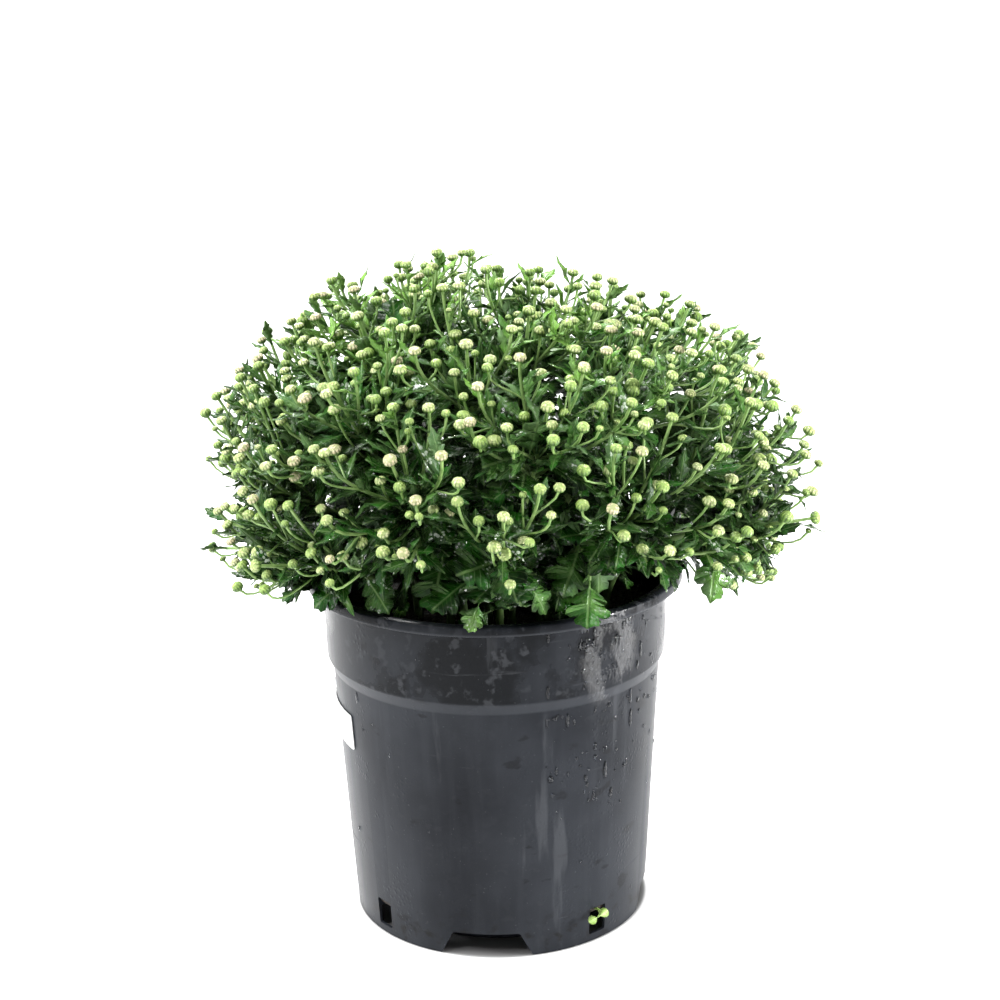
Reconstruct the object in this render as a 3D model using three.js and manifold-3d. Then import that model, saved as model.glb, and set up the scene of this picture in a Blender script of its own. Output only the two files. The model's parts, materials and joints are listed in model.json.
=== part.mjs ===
// A pot chrysanthemum in bud: a round nursery pot, its potting mix, and a ball-shaped plant of leafy stems.
// Millimetres, +Z up. The origin is the centre of the circle that the pot stands on, and the front is -Y.
import * as THREE from "three";
import { mergeVertices } from "three/addons/utils/BufferGeometryUtils.js";
import Module from "manifold-3d";

const wasm = await Module();
wasm.setup();

// ---------------------------------------------------------------- driving dimensions
const GAP = 0.35; // between pieces that rest on each other

// The pot
const POT_HEIGHT = 190;
const RIM_RADIUS = 100;
const LIP_HEIGHT = 5.5;
const BAND_TOP_RADIUS = 91.6;
const BAND_LOW_RADIUS = 90.5;
const BAND_LOW_Z = 145.5;
const BODY_TOP_RADIUS = 87.4;
const BODY_TOP_Z = 138.5;
const BASE_RADIUS = 79.3;
const WALL = 1.6;
const FLOOR_UNDERSIDE_Z = 14; // the pot's floor is raised on its foot
const FLOOR_THICKNESS = 2;
const POT_SIDES = 44;
const FOOT_OPENINGS = 4; // arches in the foot, with as many slots midway between them
const FOOT_TURN = -96; // degrees round the pot from +X to the first arch
const ARCH = { low: 50, high: 35, top: 13.6, inwards: 12 };
const SLOT = { width: 11, low: 4.5, high: 19.5, inwards: 7 };
const CUT_OUTWARDS = 8; // how far the cuts reach out of the wall

// The potting mix
const SOIL_TOP_Z = 165;
const SOIL_SIDES = 24;
const SOIL_ROUGHNESS = 1.6;
const HOLE_DEPTH = 42; // each stem stands in a hole of its own
const HOLE_RADIUS = 3.4;
const HOLE_SIDES = 5;
const BURROW_RADIUS = 1.6; // where the seedling's stalk leaves the mix

// The label stuck on the pot's left flank
const LABEL = { low: 102, high: 121.5, from: 208.5, to: 165, thickness: 0.5, sides: 8 };

// The plant
const SEED = 85;
const GOLDEN_ANGLE = 137.508;
const DOME_STEMS = 24;
const DOME_POLAR = 84; // degrees from straight up to the lowest dome stem
const MOUND_Z = 200; // height of the middle of the ball
const MOUND_REACH = 154;
const FRONT_LIFT = 0.24; // how far the lower edge is drawn up at the front, as a share of the polar angle
// The mound's outline, as shares of its reach: the crown, the shoulders below it (over a polar angle),
// the foot drawn in under them (from one polar angle over another), and how far crown and shoulders
// lean apart sideways.
const OUTLINE = { crown: 0.965, bulge: 0.12, over: 112, tuck: 0.08, tuckFrom: 70, tuckOver: 20, lean: 0.05 };
const STANCE = 50; // the dome stems stand in the mix within this radius
const TRAILING_STANCE = 63;
const FIRST_AZIMUTH = 20;
const FOOT_RISE = 4; // above the mix, where a stem starts to bend
const FIRST_RISE = 1.35; // how straight up a stem starts
const STEM_RADIUS = 2.4;
const SHOOT_RADIUS = 1.25;
const STALK_RADIUS = 0.9;
const STEM_STEPS = [0.25, 0.5, 0.77, 1];
const EASE = { leaving: 0.3, ending: 0.35 }; // the shares of a path that it takes to turn at its ends
const LIFT = { dome: 0.7, trailing: 0.1, shoot: 1, stalk: 1.6 }; // how far a growing tip turns upwards
const BUD_RADIUS = { stem: [3.6, 0.7], shoot: [3.1, 1.1], stalk: [2.6, 1.1] }; // the least, and what varies
const TOTAL_SHOOTS = 76;
const SHOOT_POLAR = 97;
const BRANCH = { drop: 14, slope: 1.15, lowest: 0.34, highest: 0.84 }; // where a shoot leaves its stem
const CANDIDATES = 9;
// Flower stalks: how far beside and behind the tip their buds stand, and where along the path they start.
const STALK = { spread: [12, 8], back: [1, 12], start: [0.72, 0.12] };
// Leaves on a stem: the lobed ones from low to high, and the narrow ones on the shoots.
const LOBED = { count: 3, from: 0.46, step: 0.14, length: 36, less: 4, varies: 6, fall: 0.25 };
const NARROW = { length: [20, 8], onStem: [0.84], onShoot: [0.42, 0.72], fall: 0.15 };
const CLEARANCE = 0.9; // between the growth of one leafy stem and the next
const MARGIN = 0.1; // kept between faces when a stem is tested against itself
const SPOT_TURN = 14; // how far along a stem a better facing spot is worth going
// Stems that trail out over the rim: azimuth and polar angle of the tip, and how far it is from the middle.
const TRAILING_STEMS = [
  { azimuth: -25, polar: 79, reach: 176 },
  { azimuth: -88, polar: 74, reach: 152 },
  { azimuth: -142, polar: 82, reach: 146 },
  { azimuth: 158, polar: 96, reach: 170 },
  { azimuth: 96, polar: 92, reach: 148 },
  { azimuth: 36, polar: 94, reach: 156 },
];
// Large leaves that hang out over the rim: azimuth, length, and the tip's fall as a share of the length.
const SKIRT_LEAVES = [
  { azimuth: -164, length: 36, fall: 0.75 },
  { azimuth: -124, length: 24, fall: 0.8 },
  { azimuth: -96, length: 20, fall: 0.5 },
  { azimuth: -70, length: 32, fall: 0.9 },
  { azimuth: -52, length: 30, fall: 0.5 },
  { azimuth: -18, length: 34, fall: 0.8 },
  { azimuth: 10, length: 30, fall: 0.7 },
  { azimuth: 52, length: 34, fall: 0.6 },
  { azimuth: 80, length: 30, fall: 0.8 },
  { azimuth: 118, length: 34, fall: 0.7 },
  { azimuth: 146, length: 28, fall: 0.6 },
  { azimuth: 178, length: 32, fall: 0.7 },
];
// Blades: half outlines from the base of the blade to its tip, as shares of the length and of the half width,
// the places along the midrib where the blade is thickest, and the width as a share of the length.
const LANCE_LEAF = { half: [[0.12, 0.12], [0.4, 1], [0.74, 0.7], [1, 0]], rib: [0.5], width: 0.3 };
const LOBED_LEAF = {
  half: [[0.16, 0.04], [0.3, 0.3], [0.42, 0.9], [0.54, 0.52], [0.72, 1], [0.8, 0.48], [1, 0]],
  rib: [0.34, 0.64],
  width: 0.7,
};
const ROUND_LEAF = { half: [[0.2, 0.16], [0.52, 1], [0.86, 0.8], [1, 0]], rib: [0.6], width: 0.85 };
const BLADE_THICKNESS = 1.1; // at the midrib
// A seedling that has come up through one of the slots
const SEEDLING = {
  azimuth: -51,
  z: 17.8,
  root: 70,
  bend: 85.5,
  reach: 87.5,
  top: 21.5,
  radius: 0.8,
  leaf: 8,
};

// ---------------------------------------------------------------- small helpers
const rad = THREE.MathUtils.degToRad;
const vec = (x, y, z) => new THREE.Vector3(x, y, z);
const UP = vec(0, 0, 1);
const sum = (a, b, scale = 1) => a.clone().addScaledVector(b, scale);
const around = (radius, azimuth, z) =>
  vec(radius * Math.cos(rad(azimuth)), radius * Math.sin(rad(azimuth)), z);
const clamp = THREE.MathUtils.clamp;

// A seeded stream of numbers from 0 to 1.
function draws(seed) {
  let state = seed % 2147483647;
  return () => {
    state = (state * 48271) % 2147483647;
    return state / 2147483647;
  };
}

// A drawn value from a least one and what varies.
const within = ([least, varies], draw) => least + varies * draw();

// A closed geometry as a solid, and back.
function solid(geometry) {
  geometry.deleteAttribute("normal");
  geometry.deleteAttribute("uv");
  const merged = mergeVertices(geometry, 1e-4);
  return new wasm.Manifold(
    new wasm.Mesh({
      numProp: 3,
      vertProperties: new Float32Array(merged.attributes.position.array),
      triVerts: new Uint32Array(merged.index.array),
    }),
  );
}

function geometryOf(made) {
  const mesh = made.getMesh();
  const geometry = new THREE.BufferGeometry();
  geometry.setAttribute("position", new THREE.BufferAttribute(mesh.vertProperties, 3));
  geometry.setIndex(new THREE.BufferAttribute(mesh.triVerts, 1));
  geometry.computeVertexNormals();
  return geometry;
}

function surfaceOf({ points, faces }) {
  const geometry = new THREE.BufferGeometry();
  geometry.setFromPoints(points);
  geometry.setIndex(faces.flat());
  geometry.computeVertexNormals();
  return geometry;
}

function closed(points, faces) {
  return solid(surfaceOf({ points, faces }));
}

// ---------------------------------------------------------------- the pot
function potOuterRadius(z) {
  return BASE_RADIUS + ((BODY_TOP_RADIUS - BASE_RADIUS) * z) / BODY_TOP_Z;
}

function potProfile() {
  const floorTop = FLOOR_UNDERSIDE_Z + FLOOR_THICKNESS;
  const lipLow = POT_HEIGHT - LIP_HEIGHT;
  return [
    [0, FLOOR_UNDERSIDE_Z],
    [potOuterRadius(FLOOR_UNDERSIDE_Z) - WALL, FLOOR_UNDERSIDE_Z],
    [BASE_RADIUS - WALL, 0],
    [BASE_RADIUS, 0],
    [BODY_TOP_RADIUS, BODY_TOP_Z],
    [BAND_LOW_RADIUS, BAND_LOW_Z],
    [BAND_TOP_RADIUS, lipLow + 1.5],
    [RIM_RADIUS - WALL, lipLow + 2.5],
    [RIM_RADIUS - WALL, lipLow],
    [RIM_RADIUS, lipLow],
    [RIM_RADIUS - 0.6, POT_HEIGHT - 1],
    [RIM_RADIUS - 2.2, POT_HEIGHT],
    [BAND_TOP_RADIUS, POT_HEIGHT - 1.4],
    [BAND_TOP_RADIUS - WALL, POT_HEIGHT - 6],
    [BAND_LOW_RADIUS - WALL, BAND_LOW_Z],
    [BODY_TOP_RADIUS - WALL, BODY_TOP_Z + 1],
    [potOuterRadius(floorTop) - WALL, floorTop],
    [0, floorTop],
  ].map(([radius, z]) => new THREE.Vector2(radius, z));
}

// A prism over an outline in the plane across the pot's radius, driven through the wall at an azimuth.
function wallCutter(outline, azimuth, from, to) {
  const shape = new THREE.Shape(outline.map(([x, z]) => new THREE.Vector2(x, z)));
  const geometry = new THREE.ExtrudeGeometry(shape, { depth: to - from, bevelEnabled: false });
  geometry.rotateX(Math.PI / 2);
  geometry.translate(0, to, 0);
  geometry.rotateZ(rad(azimuth - 90));
  return solid(geometry);
}

function pot() {
  const profile = potProfile();
  let made = solid(new THREE.LatheGeometry(profile, POT_SIDES).rotateX(Math.PI / 2));
  if (made.volume() < 0) {
    made = solid(new THREE.LatheGeometry(profile.reverse(), POT_SIDES).rotateX(Math.PI / 2));
  }
  const arch = [
    [-ARCH.low / 2, -1],
    [ARCH.low / 2, -1],
    [ARCH.high / 2, ARCH.top],
    [-ARCH.high / 2, ARCH.top],
  ];
  const slot = [
    [-SLOT.width / 2, SLOT.low],
    [SLOT.width / 2, SLOT.low],
    [SLOT.width / 2, SLOT.high],
    [-SLOT.width / 2, SLOT.high],
  ];
  const outside = BASE_RADIUS + CUT_OUTWARDS;
  for (let i = 0; i < FOOT_OPENINGS; i++) {
    const azimuth = FOOT_TURN + (360 / FOOT_OPENINGS) * i;
    const between = azimuth + 180 / FOOT_OPENINGS;
    made = made.subtract(wallCutter(arch, azimuth, BASE_RADIUS - ARCH.inwards, outside));
    made = made.subtract(wallCutter(slot, between, BASE_RADIUS - SLOT.inwards, outside));
  }
  return made;
}

// ---------------------------------------------------------------- the potting mix
function wallInside(z) {
  if (z <= BODY_TOP_Z + 1) {
    return potOuterRadius(z) - WALL;
  }
  if (z < BAND_LOW_Z) {
    return BODY_TOP_RADIUS - WALL;
  }
  return BAND_LOW_RADIUS - WALL;
}

function soil(stems) {
  const draw = draws(SEED + 900);
  const floor = FLOOR_UNDERSIDE_Z + FLOOR_THICKNESS + GAP;
  const rings = [
    [wallInside(floor) - GAP, floor],
    [wallInside(BODY_TOP_Z) - GAP, BODY_TOP_Z],
    [wallInside(BODY_TOP_Z) - GAP, BAND_LOW_Z],
    [wallInside(SOIL_TOP_Z) - GAP, BAND_LOW_Z + 1],
    [wallInside(SOIL_TOP_Z) - GAP, SOIL_TOP_Z - 3],
    [64, SOIL_TOP_Z],
    [32, SOIL_TOP_Z + 1],
  ];
  const points = [vec(0, 0, floor)];
  rings.forEach(([radius, z], ring) => {
    const rough = ring > 4 ? SOIL_ROUGHNESS : 0;
    for (let k = 0; k < SOIL_SIDES; k++) {
      points.push(around(radius, (360 / SOIL_SIDES) * k, z + rough * (2 * draw() - 1)));
    }
  });
  points.push(vec(0, 0, SOIL_TOP_Z + 1));
  const faces = [];
  const at = (ring, k) => 1 + ring * SOIL_SIDES + (k % SOIL_SIDES);
  for (let k = 0; k < SOIL_SIDES; k++) {
    faces.push(0, at(0, k + 1), at(0, k));
    for (let ring = 0; ring + 1 < rings.length; ring++) {
      faces.push(at(ring, k), at(ring, k + 1), at(ring + 1, k + 1));
      faces.push(at(ring, k), at(ring + 1, k + 1), at(ring + 1, k));
    }
    faces.push(points.length - 1, at(rings.length - 1, k), at(rings.length - 1, k + 1));
  }
  let made = closed(points, faces);
  for (const stem of stems) {
    const [foot] = stem.path;
    const hole = new THREE.CylinderGeometry(HOLE_RADIUS, HOLE_RADIUS, 2 * HOLE_DEPTH, HOLE_SIDES);
    hole.rotateX(Math.PI / 2);
    hole.translate(foot.x, foot.y, SOIL_TOP_Z);
    made = made.subtract(solid(hole));
  }
  const { azimuth, z, root } = SEEDLING;
  const burrowLength = 2 * (BASE_RADIUS - root);
  const burrow = new THREE.CylinderGeometry(BURROW_RADIUS, BURROW_RADIUS, burrowLength, HOLE_SIDES);
  burrow.rotateZ(Math.PI / 2);
  burrow.translate(BASE_RADIUS - GAP, 0, z);
  burrow.rotateZ(rad(azimuth));
  return made.subtract(solid(burrow));
}

// ---------------------------------------------------------------- the label
function label() {
  const points = [];
  const faces = [];
  const { sides } = LABEL;
  for (let i = 0; i <= sides; i++) {
    const azimuth = LABEL.from + ((LABEL.to - LABEL.from) * i) / sides;
    for (const [z, out] of [[LABEL.low, 0], [LABEL.low, 1], [LABEL.high, 1], [LABEL.high, 0]]) {
      points.push(around(potOuterRadius(z) + GAP + out * LABEL.thickness, azimuth, z));
    }
  }
  for (let i = 0; i < sides; i++) {
    for (let k = 0; k < 4; k++) {
      const a = i * 4 + k;
      const b = i * 4 + ((k + 1) % 4);
      faces.push(a, b, b + 4, a, b + 4, a + 4);
    }
  }
  const last = sides * 4;
  faces.push(0, 2, 1, 0, 3, 2, last, last + 1, last + 2, last, last + 2, last + 3);
  return closed(points, faces);
}

// ---------------------------------------------------------------- how the plant grows
function cubic([a, b, c, d], t) {
  const s = 1 - t;
  return vec(0, 0, 0)
    .addScaledVector(a, s * s * s)
    .addScaledVector(b, 3 * s * s * t)
    .addScaledVector(c, 3 * s * t * t)
    .addScaledVector(d, t * t * t);
}

function heading(path, t) {
  return cubic(path, Math.min(1, t + 0.01)).sub(cubic(path, Math.max(0, t - 0.01))).normalize();
}

function fromMiddle(polar, azimuth, reach) {
  const flat = reach * Math.sin(rad(polar));
  return around(flat, azimuth, MOUND_Z + reach * Math.cos(rad(polar)));
}

function onMound(polar, azimuth, reach) {
  const down = polar * (1 - FRONT_LIFT * Math.max(0, -Math.sin(rad(azimuth))));
  const shoulder = OUTLINE.bulge * Math.sin(rad((180 * down) / OUTLINE.over)) ** 4;
  const tuck = OUTLINE.tuck * clamp((down - OUTLINE.tuckFrom) / OUTLINE.tuckOver, 0, 1);
  const side = 1 - OUTLINE.lean * Math.cos(rad(azimuth)) * Math.cos(rad(2 * down));
  return fromMiddle(down, azimuth, reach * side * (OUTLINE.crown + shoulder - tuck));
}

function outward(point) {
  return vec(point.x, point.y, point.z - MOUND_Z).normalize();
}

// Two unit vectors across a direction.
function across(direction) {
  const side = vec(-direction.y, direction.x, 0);
  if (side.lengthSq() < 1e-6) {
    side.set(0, 1, 0);
  }
  side.normalize();
  return [side, direction.clone().cross(side)];
}

// A path from a point on a parent that leaves along the parent and ends heading out of the mound.
function shootPath(from, leaving, to, lift) {
  const length = from.distanceTo(to);
  const ending = sum(outward(to), UP, lift).normalize();
  return [from, sum(from, leaving, EASE.leaving * length), sum(to, ending, -EASE.ending * length), to];
}

function stemPath(stand, azimuth, tip, lift) {
  const foot = around(stand, azimuth, SOIL_TOP_Z + FOOT_RISE);
  return shootPath(foot, UP.clone().multiplyScalar(FIRST_RISE), tip, lift);
}

function mainStems() {
  const stems = [];
  for (let i = 0; i < DOME_STEMS; i++) {
    const draw = draws(SEED + i);
    const share = (i + 0.5) / DOME_STEMS;
    const polar = THREE.MathUtils.radToDeg(Math.acos(1 - share * (1 - Math.cos(rad(DOME_POLAR)))));
    const azimuth = FIRST_AZIMUTH + GOLDEN_ANGLE * i;
    const tip = onMound(polar, azimuth, MOUND_REACH * (0.95 + 0.08 * draw()));
    stems.push({ path: stemPath(STANCE * Math.sqrt(share), azimuth, tip, LIFT.dome), tip });
  }
  for (const { azimuth, polar, reach } of TRAILING_STEMS) {
    const tip = fromMiddle(polar, azimuth, reach);
    stems.push({ path: stemPath(TRAILING_STANCE, azimuth, tip, LIFT.trailing), tip });
  }
  return stems;
}

// Balls stand for what has been placed, so that one stem's growth can be kept clear of another's.
const balls = { x: [], y: [], z: [], radius: [], owner: [] };

function occupy(list, owner) {
  for (const [point, radius] of list) {
    balls.x.push(point.x);
    balls.y.push(point.y);
    balls.z.push(point.z);
    balls.radius.push(radius);
    balls.owner.push(owner);
  }
}

// Clear of the rim, of the wall under it and of the potting mix.
function clearOfPot(point, radius) {
  const far = Math.hypot(point.x, point.y);
  return (
    point.z - radius > POT_HEIGHT + CLEARANCE ||
    far - radius > RIM_RADIUS + CLEARANCE ||
    (far + radius < BAND_LOW_RADIUS - WALL - CLEARANCE && point.z - radius > SOIL_TOP_Z + 3.5)
  );
}

function isClear(list, owner) {
  for (const [point, radius] of list) {
    if (!clearOfPot(point, radius)) {
      return false;
    }
    for (let k = 0; k < balls.x.length; k++) {
      if (balls.owner[k] !== owner) {
        const reach = balls.radius[k] + radius + CLEARANCE;
        const dx = balls.x[k] - point.x;
        const dy = balls.y[k] - point.y;
        const dz = balls.z[k] - point.z;
        if (dx * dx + dy * dy + dz * dz < reach * reach) {
          return false;
        }
      }
    }
  }
  return true;
}

function limbBalls(path, radius, bud) {
  const steps = Math.ceil(path[0].distanceTo(path[3]) / 2.4);
  const list = [[bud.centre, bud.radius]];
  for (let k = 1; k <= steps; k++) {
    list.push([cubic(path, k / steps), radius]);
  }
  return list;
}

function budAt(path, radius) {
  const axis = heading(path, 1);
  return { axis, radius, centre: sum(path[3], axis, 0.7 * radius) };
}

// Where the side shoots end: each new place is the candidate that is farthest from those before it.
function shootTargets(tips) {
  const draw = draws(SEED + 100);
  const taken = [...tips];
  const targets = [];
  for (let k = 0; k < TOTAL_SHOOTS; k++) {
    let best = null;
    let widest = -1;
    for (let c = 0; c < CANDIDATES; c++) {
      const polar = THREE.MathUtils.radToDeg(Math.acos(1 - draw() * (1 - Math.cos(rad(SHOOT_POLAR)))));
      const azimuth = 360 * draw();
      const point = onMound(polar, azimuth, MOUND_REACH * (1.02 - 0.15 * draw() * draw()));
      const nearest = Math.min(...taken.map((other) => other.distanceTo(point)));
      if (nearest > widest) {
        widest = nearest;
        best = point;
      }
    }
    taken.push(best);
    targets.push(best);
  }
  return targets;
}

// ---------------------------------------------------------------- a leafy stem as one closed surface
// Every shoot, flower stalk and leaf is drawn out of a face of what it grows from, its spot.
function addPoint(body, point) {
  return body.points.push(point) - 1;
}

function addRing(body, centre, axis, side, radius, phase = 0) {
  const other = axis.clone().cross(side);
  return [0, 1, 2].map((k) => {
    const angle = rad(120 * k + phase);
    const along = sum(centre, side, radius * Math.cos(angle));
    return addPoint(body, along.addScaledVector(other, radius * Math.sin(angle)));
  });
}

function addBand(body, low, high, carrier = null) {
  for (let k = 0; k < 3; k++) {
    const next = (k + 1) % 3;
    for (const face of [[low[k], low[next], high[next]], [low[k], high[next], high[k]]]) {
      body.faces.push(face);
      if (carrier) {
        const [a, b, c] = face.map((index) => body.points[index]);
        const normal = sum(b, a, -1).cross(sum(c, a, -1)).normalize();
        const centre = sum(sum(a, b), c).multiplyScalar(1 / 3);
        body.spots.push({ face: body.faces.length - 1, centre, normal, carrier, used: false });
      }
    }
  }
}

// A tapering three-sided rod from a ring, through points, to a bud on its end or to a flat end.
function addRod(body, base, points, radii, carrier, bud) {
  const first = body.points[base[0]];
  let low = base;
  let side = null;
  points.forEach((point, k) => {
    const behind = k === 0 ? carrier.root : points[k - 1];
    const axis = sum(points[Math.min(k + 1, points.length - 1)], behind, -1).normalize();
    side = side ?? sum(first, carrier.root, -1);
    side = sum(side, axis, -side.dot(axis)).normalize();
    const high = addRing(body, point, axis, side, radii[k]);
    addBand(body, low, high, carrier);
    low = high;
  });
  if (bud) {
    addBud(body, low, bud, side);
  } else {
    body.faces.push(low);
  }
}

// A bud is a low globe, wider than its stalk, that comes to a blunt crown.
function addBud(body, base, { centre, axis, radius }, rodSide) {
  const side = sum(rodSide, axis, -rodSide.dot(axis)).normalize();
  const low = addRing(body, sum(centre, axis, -0.2 * radius), axis, side, radius, -60);
  const high = addRing(body, sum(centre, axis, 0.22 * radius), axis, side, radius);
  const crown = addPoint(body, sum(centre, axis, 0.84 * radius));
  for (let k = 0; k < 3; k++) {
    const next = (k + 1) % 3;
    const previous = (k + 2) % 3;
    body.faces.push([base[previous], base[k], low[k]]);
    body.faces.push([low[k], base[k], high[k]]);
    body.faces.push([base[k], low[next], high[k]]);
    body.faces.push([low[k], high[k], crown]);
    body.faces.push([high[previous], low[k], crown]);
  }
}

// Opens a spot: a small ring in the middle of its face, from which something grows.
function openSpot(body, spot, size) {
  const corners = body.faces[spot.face];
  const [a, b, c] = corners.map((index) => body.points[index]);
  const edges = [sum(b, a, -1), sum(c, b, -1), sum(a, c, -1)];
  const short = edges.reduce((least, edge) => (edge.lengthSq() < least.lengthSq() ? edge : least));
  const wide = short.clone().normalize();
  const long = spot.normal.clone().cross(wide);
  const half = Math.min(size, 0.26 * short.length());
  const ring = [a, b, c].map((corner) => {
    const way = sum(corner, spot.centre, -1);
    const x = way.dot(wide) > 0 ? 1 : -1;
    const lone = edges.indexOf(short) === (corner === a ? 1 : corner === b ? 2 : 0);
    const reach = Math.sign(way.dot(long)) * (lone ? 1.2 : 0.6) * size;
    return addPoint(body, sum(spot.centre, wide, lone ? 0 : x * half).addScaledVector(long, reach));
  });
  const made = [];
  for (let k = 0; k < 3; k++) {
    const next = (k + 1) % 3;
    made.push(...planarQuad(body, [corners[k], corners[next], ring[next], ring[k]], spot.normal));
  }
  body.faces[spot.face] = made.pop();
  body.faces.push(...made);
  return ring;
}

// A flat quad as the two triangles that don't fold over each other.
function planarQuad(body, [a, b, c, d], normal) {
  const area = (face) => {
    const [p, q, r] = face.map((index) => body.points[index]);
    return sum(q, p, -1).cross(sum(r, p, -1)).dot(normal);
  };
  const ways = [
    [[a, b, c], [a, c, d]],
    [[a, b, d], [b, c, d]],
  ];
  const worst = ways.map((pair) => Math.min(...pair.map(area)));
  return worst[0] > worst[1] ? ways[0] : ways[1];
}

// Whether an edge of one triangle goes through the other.
function pierces(body, one, other) {
  const [a, b, c] = other.map((index) => body.points[index]);
  for (let k = 0; k < 3; k++) {
    const from = body.points[one[k]];
    const to = body.points[one[(k + 1) % 3]];
    const ray = new THREE.Ray(from, sum(to, from, -1).normalize());
    const hit = ray.intersectTriangle(a, b, c, false, vec(0, 0, 0));
    if (hit && hit.distanceTo(from) < to.distanceTo(from)) {
      return true;
    }
  }
  return false;
}

function crossesItself(body, firstNew) {
  const boxes = body.faces.map((face) => {
    const box = new THREE.Box3().setFromPoints(face.map((index) => body.points[index]));
    return box.expandByScalar(MARGIN);
  });
  for (let i = firstNew; i < body.faces.length; i++) {
    for (let k = 0; k < firstNew; k++) {
      if (boxes[i].intersectsBox(boxes[k]) && !body.faces[i].some((index) => body.faces[k].includes(index))) {
        if (pierces(body, body.faces[i], body.faces[k]) || pierces(body, body.faces[k], body.faces[i])) {
          return true;
        }
      }
    }
  }
  return false;
}

// The free spot on a carrier that best faces where something is to grow.
function bestSpot(body, carrier, wanted, direction) {
  let best = null;
  for (const spot of body.spots) {
    const facing = spot.normal.dot(direction);
    if (spot.carrier === carrier && !spot.used && facing > 0.15) {
      const cost = spot.centre.distanceTo(wanted) + SPOT_TURN * (1 - facing);
      if (!best || cost < best.cost) {
        best = { spot, cost };
      }
    }
  }
  return best?.spot;
}

// Grows a piece out of a spot, unless it would cross what the stem already has.
function graft(body, spot, size, build) {
  const kept = { points: body.points.length, faces: body.faces.length, spots: body.spots.length };
  const face = body.faces[spot.face];
  build(openSpot(body, spot, size));
  if (crossesItself(body, kept.faces)) {
    body.points.length = kept.points;
    body.faces.length = kept.faces;
    body.spots.length = kept.spots;
    body.faces[spot.face] = face;
    return false;
  }
  spot.used = true;
  return true;
}

// A stem's own line: a blunt foot in the mix, a rod that thins towards the top, and a bud.
function startBody(stem) {
  const [foot] = stem.path;
  const body = { points: [], faces: [], spots: [] };
  const low = vec(foot.x, foot.y, SOIL_TOP_Z - HOLE_DEPTH + GAP);
  const out = vec(foot.x, foot.y, 0).normalize();
  const ring = addRing(body, low, UP, out, STEM_RADIUS);
  body.faces.push([...ring].reverse());
  const footRing = addRing(body, foot, UP, out, STEM_RADIUS);
  addBand(body, ring, footRing);
  const carrier = { path: stem.path, root: foot };
  const points = STEM_STEPS.map((t) => cubic(stem.path, t));
  const radii = STEM_STEPS.map((t) => STEM_RADIUS + (STALK_RADIUS - STEM_RADIUS) * t);
  addRod(body, footRing, points, radii, carrier, stem.bud);
  stem.body = body;
  stem.carriers = [carrier];
}

// A shoot or stalk from a carrier to a place, with a bud on its end.
function growLimb(stem, owner, carrier, from, place, { radius, steps, lift, budRadius }) {
  const direction = sum(place, from, -1).normalize();
  const spot = bestSpot(stem.body, carrier, from, direction);
  if (!spot) {
    return false;
  }
  const leaving = sum(direction, spot.normal, 0.7).normalize();
  const path = shootPath(spot.centre, leaving, place, lift);
  const bud = budAt(path, budRadius);
  const list = limbBalls(path, radius, bud);
  if (!isClear(list, owner)) {
    return false;
  }
  const limb = { path, root: spot.centre };
  const points = [];
  for (let k = 1; k <= steps; k++) {
    points.push(cubic(path, k / steps));
  }
  const radii = points.map((_, k) => radius + ((STALK_RADIUS - radius) * (k + 1)) / steps);
  const grew = graft(stem.body, spot, radius, (ring) => addRod(stem.body, ring, points, radii, limb, bud));
  if (grew) {
    occupy(list, owner);
    if (steps > 1) {
      stem.carriers.push(limb);
    }
    stem.buds++;
  }
  return grew;
}

// The dome stems and trailing stems, then their side shoots to the targets, then flower stalks from both.
function growLimbs(stems) {
  stems.forEach((stem, owner) => {
    const draw = draws(SEED + 200 + owner);
    stem.bud = budAt(stem.path, within(BUD_RADIUS.stem, draw));
    stem.buds = 1;
    stem.leaves = 0;
    occupy(limbBalls(stem.path, STEM_RADIUS, stem.bud), owner);
    startBody(stem);
  });
  const targets = shootTargets(stems.map((stem) => stem.tip));
  targets.forEach((target, k) => {
    const draw = draws(SEED + 300 + k);
    const budRadius = within(BUD_RADIUS.shoot, draw);
    const shoot = { radius: SHOOT_RADIUS, steps: 3, lift: LIFT.shoot, budRadius };
    const order = stems
      .map((stem, owner) => ({ owner, far: stem.tip.distanceTo(target) }))
      .sort((a, b) => a.far - b.far);
    order.slice(0, 4).some(({ owner, far }) => {
      const stem = stems[owner];
      const length = stem.path[0].distanceTo(stem.path[3]);
      const drop = (BRANCH.slope * far + BRANCH.drop) / length;
      const branch = clamp(1 - drop, BRANCH.lowest, BRANCH.highest);
      return growLimb(stem, owner, stem.carriers[0], cubic(stem.path, branch), target, shoot);
    });
  });
  stems.forEach((stem, owner) => {
    stem.carriers.slice().forEach((carrier, c) => {
      const draw = draws(SEED + 1000 + 40 * owner + c);
      const tip = carrier.path[3];
      const axis = heading(carrier.path, 1);
      const [side, other] = across(axis);
      const wanted = c === 0 ? 2 : 1;
      let turn = 360 * draw();
      for (let n = 0; n < wanted; n++) {
        const budRadius = within(BUD_RADIUS.stalk, draw);
        const stalk = { radius: STALK_RADIUS, steps: 1, lift: LIFT.stalk, budRadius };
        const spread = within(STALK.spread, draw);
        const back = within(STALK.back, draw);
        const from = cubic(carrier.path, within(STALK.start, draw));
        for (let attempt = 0; attempt < 9; attempt++) {
          const angle = rad(turn + 80 * attempt);
          const reach = attempt < 5 ? spread : 0.75 * spread;
          const place = sum(tip, axis, -back)
            .addScaledVector(side, Math.cos(angle) * reach)
            .addScaledVector(other, Math.sin(angle) * reach);
          if (growLimb(stem, owner, carrier, from, place, stalk)) {
            break;
          }
        }
        turn += 170;
      }
    });
  });
}

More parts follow.
